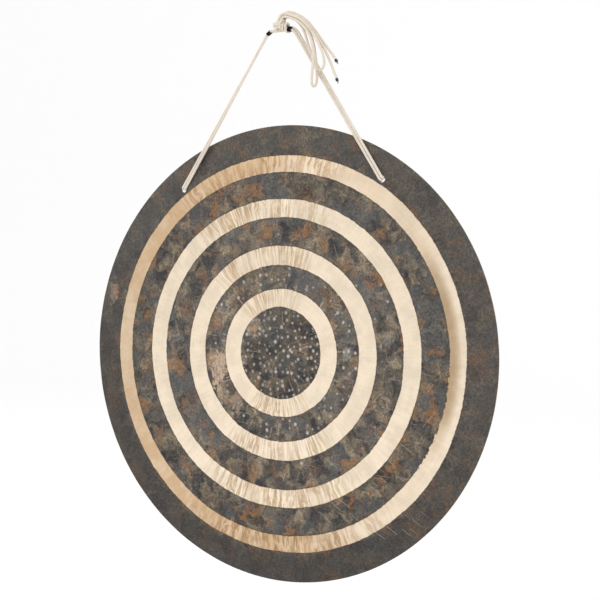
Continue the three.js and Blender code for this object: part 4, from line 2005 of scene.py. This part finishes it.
@dataclass
class GongDisc:
    """The hammered bronze disc, spun from its profile and drilled for the cord."""

    sizes: DiscSizes
    turn_steps: int = 288
    fine_step: float = 0.0016
    fine_reach: float = 0.10
    coarse_step: float = 0.0036
    back_step: float = 0.010
    edge_round: float = 0.0005
    edge_share: float = 0.3
    weld: float = 0.00001
    hole_sides: int = 48
    drill_length: float = 0.04
    rim_facing: float = 0.6
    crease: float = math.radians(35)
    hammer_depth: float = 0.00035
    hammer_size: float = 0.020
    sway_depth: float = 0.0006
    sway_size: float = 0.10

    def profile(self) -> list[tuple[float, float]]:
        """Lists the profile's points, from the middle of the front round the rim to the back.

        Returns:
            The reach and the depth of each point.
        """
        sizes = self.sizes
        half = sizes.thickness / 2
        edge = sizes.radius - self.edge_round
        fine = np.arange(0, self.fine_reach, self.fine_step)
        coarse = np.linspace(self.fine_reach, edge, round((edge - self.fine_reach) / self.coarse_step) + 1)
        front = [(reach, sizes.depth(reach) - half) for reach in (*fine, *coarse)]
        rim_depth = sizes.depth(sizes.radius)
        softened = self.edge_round * self.edge_share
        rim = [
            (sizes.radius - softened, rim_depth - half + softened),
            (sizes.radius, rim_depth - half + self.edge_round),
            (sizes.radius, rim_depth + half - self.edge_round),
            (sizes.radius - softened, rim_depth + half - softened),
        ]
        places = np.linspace(edge, 0, round(edge / self.back_step) + 1)
        back = [(reach, sizes.depth(reach) + half) for reach in places]
        return [*front, *rim, *back]

    def spin(self) -> bpy.types.Object:
        """Extrudes the profile from one corner of a plane and spins it round the disc's axis.

        Returns:
            The plate.
        """
        points = [Vector((reach, depth, -self.sizes.drop)) for reach, depth in self.profile()]
        bpy.ops.object.select_all(action="DESELECT")
        bpy.ops.mesh.primitive_plane_add(size=self.sizes.thickness, location=points[0])
        disc = bpy.context.object
        bpy.ops.object.mode_set(mode="EDIT")
        bpy.ops.mesh.select_all(action="SELECT")
        bpy.ops.mesh.merge(type="CENTER")
        bpy.ops.object.mode_set(mode="OBJECT")
        bpy.ops.object.transform_apply(location=True, rotation=False, scale=False)
        disc.data.vertices[0].co = points[0]
        bpy.ops.object.mode_set(mode="EDIT")
        bpy.ops.mesh.select_all(action="SELECT")
        for before, after in zip(points, points[1:]):
            bpy.ops.mesh.extrude_region_move(TRANSFORM_OT_translate={"value": after - before})
        bpy.ops.mesh.select_all(action="SELECT")
        bpy.ops.mesh.spin(
            steps=self.turn_steps, angle=FULL_TURN, center=(0, 0, -self.sizes.drop), axis=(0, 1, 0)
        )
        bpy.ops.mesh.select_all(action="SELECT")
        bpy.ops.mesh.remove_doubles(threshold=self.weld)
        bpy.ops.mesh.normals_make_consistent(inside=False)
        bpy.ops.object.mode_set(mode="OBJECT")
        return disc

    def hammer(self, disc: bpy.types.Object) -> None:
        """Gives the plate its hammered unevenness, the same on both faces.

        Args:
            disc: The plate.
        """
        for name, kind, size, depth in (
            ("peening", "STUCCI", self.hammer_size, self.hammer_depth),
            ("sway", "CLOUDS", self.sway_size, self.sway_depth),
        ):
            texture = bpy.data.textures.new(name, kind)
            texture.noise_scale = size
            modifier = disc.modifiers.new(name, "DISPLACE")
            modifier.texture = texture
            modifier.texture_coords = "LOCAL"
            modifier.direction = "Y"
            modifier.strength = depth
            modifier.mid_level = 0.5
            bpy.ops.object.modifier_apply(modifier=name)

    def drill(self, disc: bpy.types.Object) -> None:
        """Cuts the two cord holes.

        Args:
            disc: The plate.
        """
        for side in (-1, 1):
            bpy.ops.object.select_all(action="DESELECT")
            bpy.ops.mesh.primitive_cylinder_add(
                vertices=self.hole_sides,
                radius=self.sizes.hole_diameter / 2,
                depth=self.drill_length,
                location=self.sizes.hole(side),
                rotation=(RIGHT_ANGLE, 0, 0),
            )
            drill = bpy.context.object
            bpy.ops.object.select_all(action="DESELECT")
            bpy.context.view_layer.objects.active = disc
            disc.select_set(True)
            cut = disc.modifiers.new("hole", "BOOLEAN")
            cut.operation = "DIFFERENCE"
            cut.object = drill
            cut.solver = "EXACT"
            bpy.ops.object.modifier_apply(modifier="hole")
            bpy.data.objects.remove(drill)

    def dress(self, disc: bpy.types.Object, finishes: dict[DiscFace, bpy.types.Material]) -> None:
        """Gives each face the finish of the side that it looks to.

        Args:
            disc: The disc.
            finishes: A material for each side.
        """
        disc.data.materials.clear()
        for face in DiscFace:
            disc.data.materials.append(finishes[face])
        for polygon in disc.data.polygons:
            facing = polygon.normal.dot(FORWARD)
            if abs(facing) < self.rim_facing:
                polygon.material_index = DiscFace.RIM.value
            else:
                polygon.material_index = (DiscFace.FRONT if facing > 0 else DiscFace.BACK).value

    def build(self, finishes: dict[DiscFace, bpy.types.Material]) -> bpy.types.Object:
        """Builds the disc and lets it ride.

        Args:
            finishes: A material for each side.

        Returns:
            The disc.
        """
        disc = self.spin()
        self.hammer(disc)
        self.drill(disc)
        self.dress(disc, finishes)
        bpy.ops.object.shade_smooth_by_angle(angle=self.crease)
        disc.name = "gong_disc_bronze"
        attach(disc, Body.DISC.value)
        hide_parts("gong_disc")
        return disc


# Studio


@dataclass
class Studio:
    """Camera, floor and soft light."""

    eye: Point = (0.98061, -1.71760, -0.36452)
    azimuth: float = math.radians(28.864)
    elevation: float = math.radians(1.267)
    lens: float = 77.60
    sensor: float = 36
    sight: float = 60
    floor_height: float = -1.02
    floor_reach: float = 9.0
    wall_distance: float = 4.5
    sweep_radius: float = 1.6
    sweep_steps: int = 12
    sky: float = 1.0
    floor_white: Colour = (0.975, 0.975, 0.975)

    def place_camera(self) -> None:
        """Places the camera at the photograph's viewing angle."""
        camera = bpy.data.cameras.new("camera")
        camera.lens = self.lens
        camera.sensor_width = self.sensor
        camera.clip_end = self.sight
        holder = bpy.data.objects.new("camera", camera)
        holder.location = self.eye
        holder.rotation_euler = (RIGHT_ANGLE - self.elevation, 0, self.azimuth)
        bpy.context.scene.collection.objects.link(holder)
        bpy.context.scene.camera = holder

    def lay_floor(self) -> None:
        """Lays a pale floor that sweeps up into a wall."""
        bpy.ops.object.select_all(action="DESELECT")
        bpy.ops.mesh.primitive_plane_add(size=2 * self.floor_reach, location=(0, 0, self.floor_height))
        floor = bpy.context.object
        floor.name = "floor"
        bpy.ops.object.transform_apply(location=True)
        shift = self.wall_distance - self.floor_reach
        for vertex in floor.data.vertices:
            if vertex.co.y > 0:
                vertex.co.y += shift
        bpy.ops.object.mode_set(mode="EDIT")
        bpy.ops.mesh.select_all(action="DESELECT")
        bpy.ops.object.mode_set(mode="OBJECT")
        for edge in floor.data.edges:
            edge.select = all(floor.data.vertices[end].co.y > 0 for end in edge.vertices)
        bpy.ops.object.mode_set(mode="EDIT")
        bpy.context.tool_settings.mesh_select_mode = (False, True, False)
        length = self.sweep_radius * RIGHT_ANGLE / self.sweep_steps
        for step in range(self.sweep_steps):
            angle = (step + 0.5) / self.sweep_steps * RIGHT_ANGLE
            value = (0, math.cos(angle) * length, math.sin(angle) * length)
            bpy.ops.mesh.extrude_region_move(TRANSFORM_OT_translate={"value": value})
        bpy.ops.mesh.extrude_region_move(TRANSFORM_OT_translate={"value": (0, 0, self.floor_reach / 2)})
        bpy.ops.object.mode_set(mode="OBJECT")
        bpy.ops.object.shade_smooth()
        material, sheet, shader = new_material("pale_floor")
        grain = sheet.noise(sheet.add("TexCoord").outputs["Object"], 3, 2)
        low = tuple(part * 0.995 for part in self.floor_white)
        colour = sheet.mix(grain, low, self.floor_white)
        sheet.fill(shader, Base_Color=colour, Roughness=1, Specular_IOR_Level=0)
        floor.data.materials.append(material)

    def hang_lights(self) -> None:
        """Hangs a bright sky and two large soft boxes."""
        world = bpy.data.worlds.new("studio")
        world.use_nodes = True
        background = world.node_tree.nodes["Background"]
        background.inputs["Color"].default_value = (1, 1, 1, 1)
        background.inputs["Strength"].default_value = self.sky
        bpy.context.scene.world = world
        for name, place, size, power in (
            ("key", (-1.9, -2.0, 1.6), 1.4, 22),
            ("fill", (2.2, -1.2, 0.5), 1.6, 10),
        ):
            lamp = bpy.data.lights.new(name, "AREA")
            lamp.size = size
            lamp.energy = power
            holder = bpy.data.objects.new(name, lamp)
            holder.location = place
            aim = Vector((0, 0, self.floor_height / 2)) - Vector(place)
            holder.rotation_euler = aim.to_track_quat("-Z", "Y").to_euler()
            bpy.context.scene.collection.objects.link(holder)
        bpy.context.scene.view_settings.view_transform = "Standard"


def main() -> None:
    """Builds the gong from its cord to its disc and reports each piece."""
    logging.basicConfig(level=logging.INFO, format="%(message)s")
    studio = Studio()
    studio.place_camera()
    effects = Effects()
    disc_sizes = DiscSizes()
    stock = CordStock()
    braid = CordFinish().build(effects)
    thread = ThreadFinish("whipping_thread", (0.030, 0.018, 0.012), (0.13, 0.09, 0.06)).build()
    fibre = ThreadFinish("singed_fibre", (0.42, 0.33, 0.23), (0.07, 0.05, 0.035)).build()
    pieces: list[bpy.types.Object] = []
    pieces += LooseEnds(stock, TailEnd()).build(braid, (thread, fibre))
    suspension = SuspensionCord(disc_sizes, stock)
    pieces += suspension.build(braid)
    pieces.append(HitchKnot(stock).build(braid))
    pieces += TapeBands(suspension).build(TapeFinish().build())
    finishes = {
        DiscFace.FRONT: StruckFaceFinish(disc_sizes).build(effects),
        DiscFace.BACK: BackFinish(disc_sizes).build(effects),
        DiscFace.RIM: RimFinish().build(),
    }
    pieces.append(GongDisc(disc_sizes).build(finishes))
    studio.lay_floor()
    studio.hang_lights()
    for piece in pieces:
        log.info("%s: %d faces", piece.name, len(piece.data.polygons))
    bpy.context.view_layer.update()


if __name__ == "__main__":
    main()
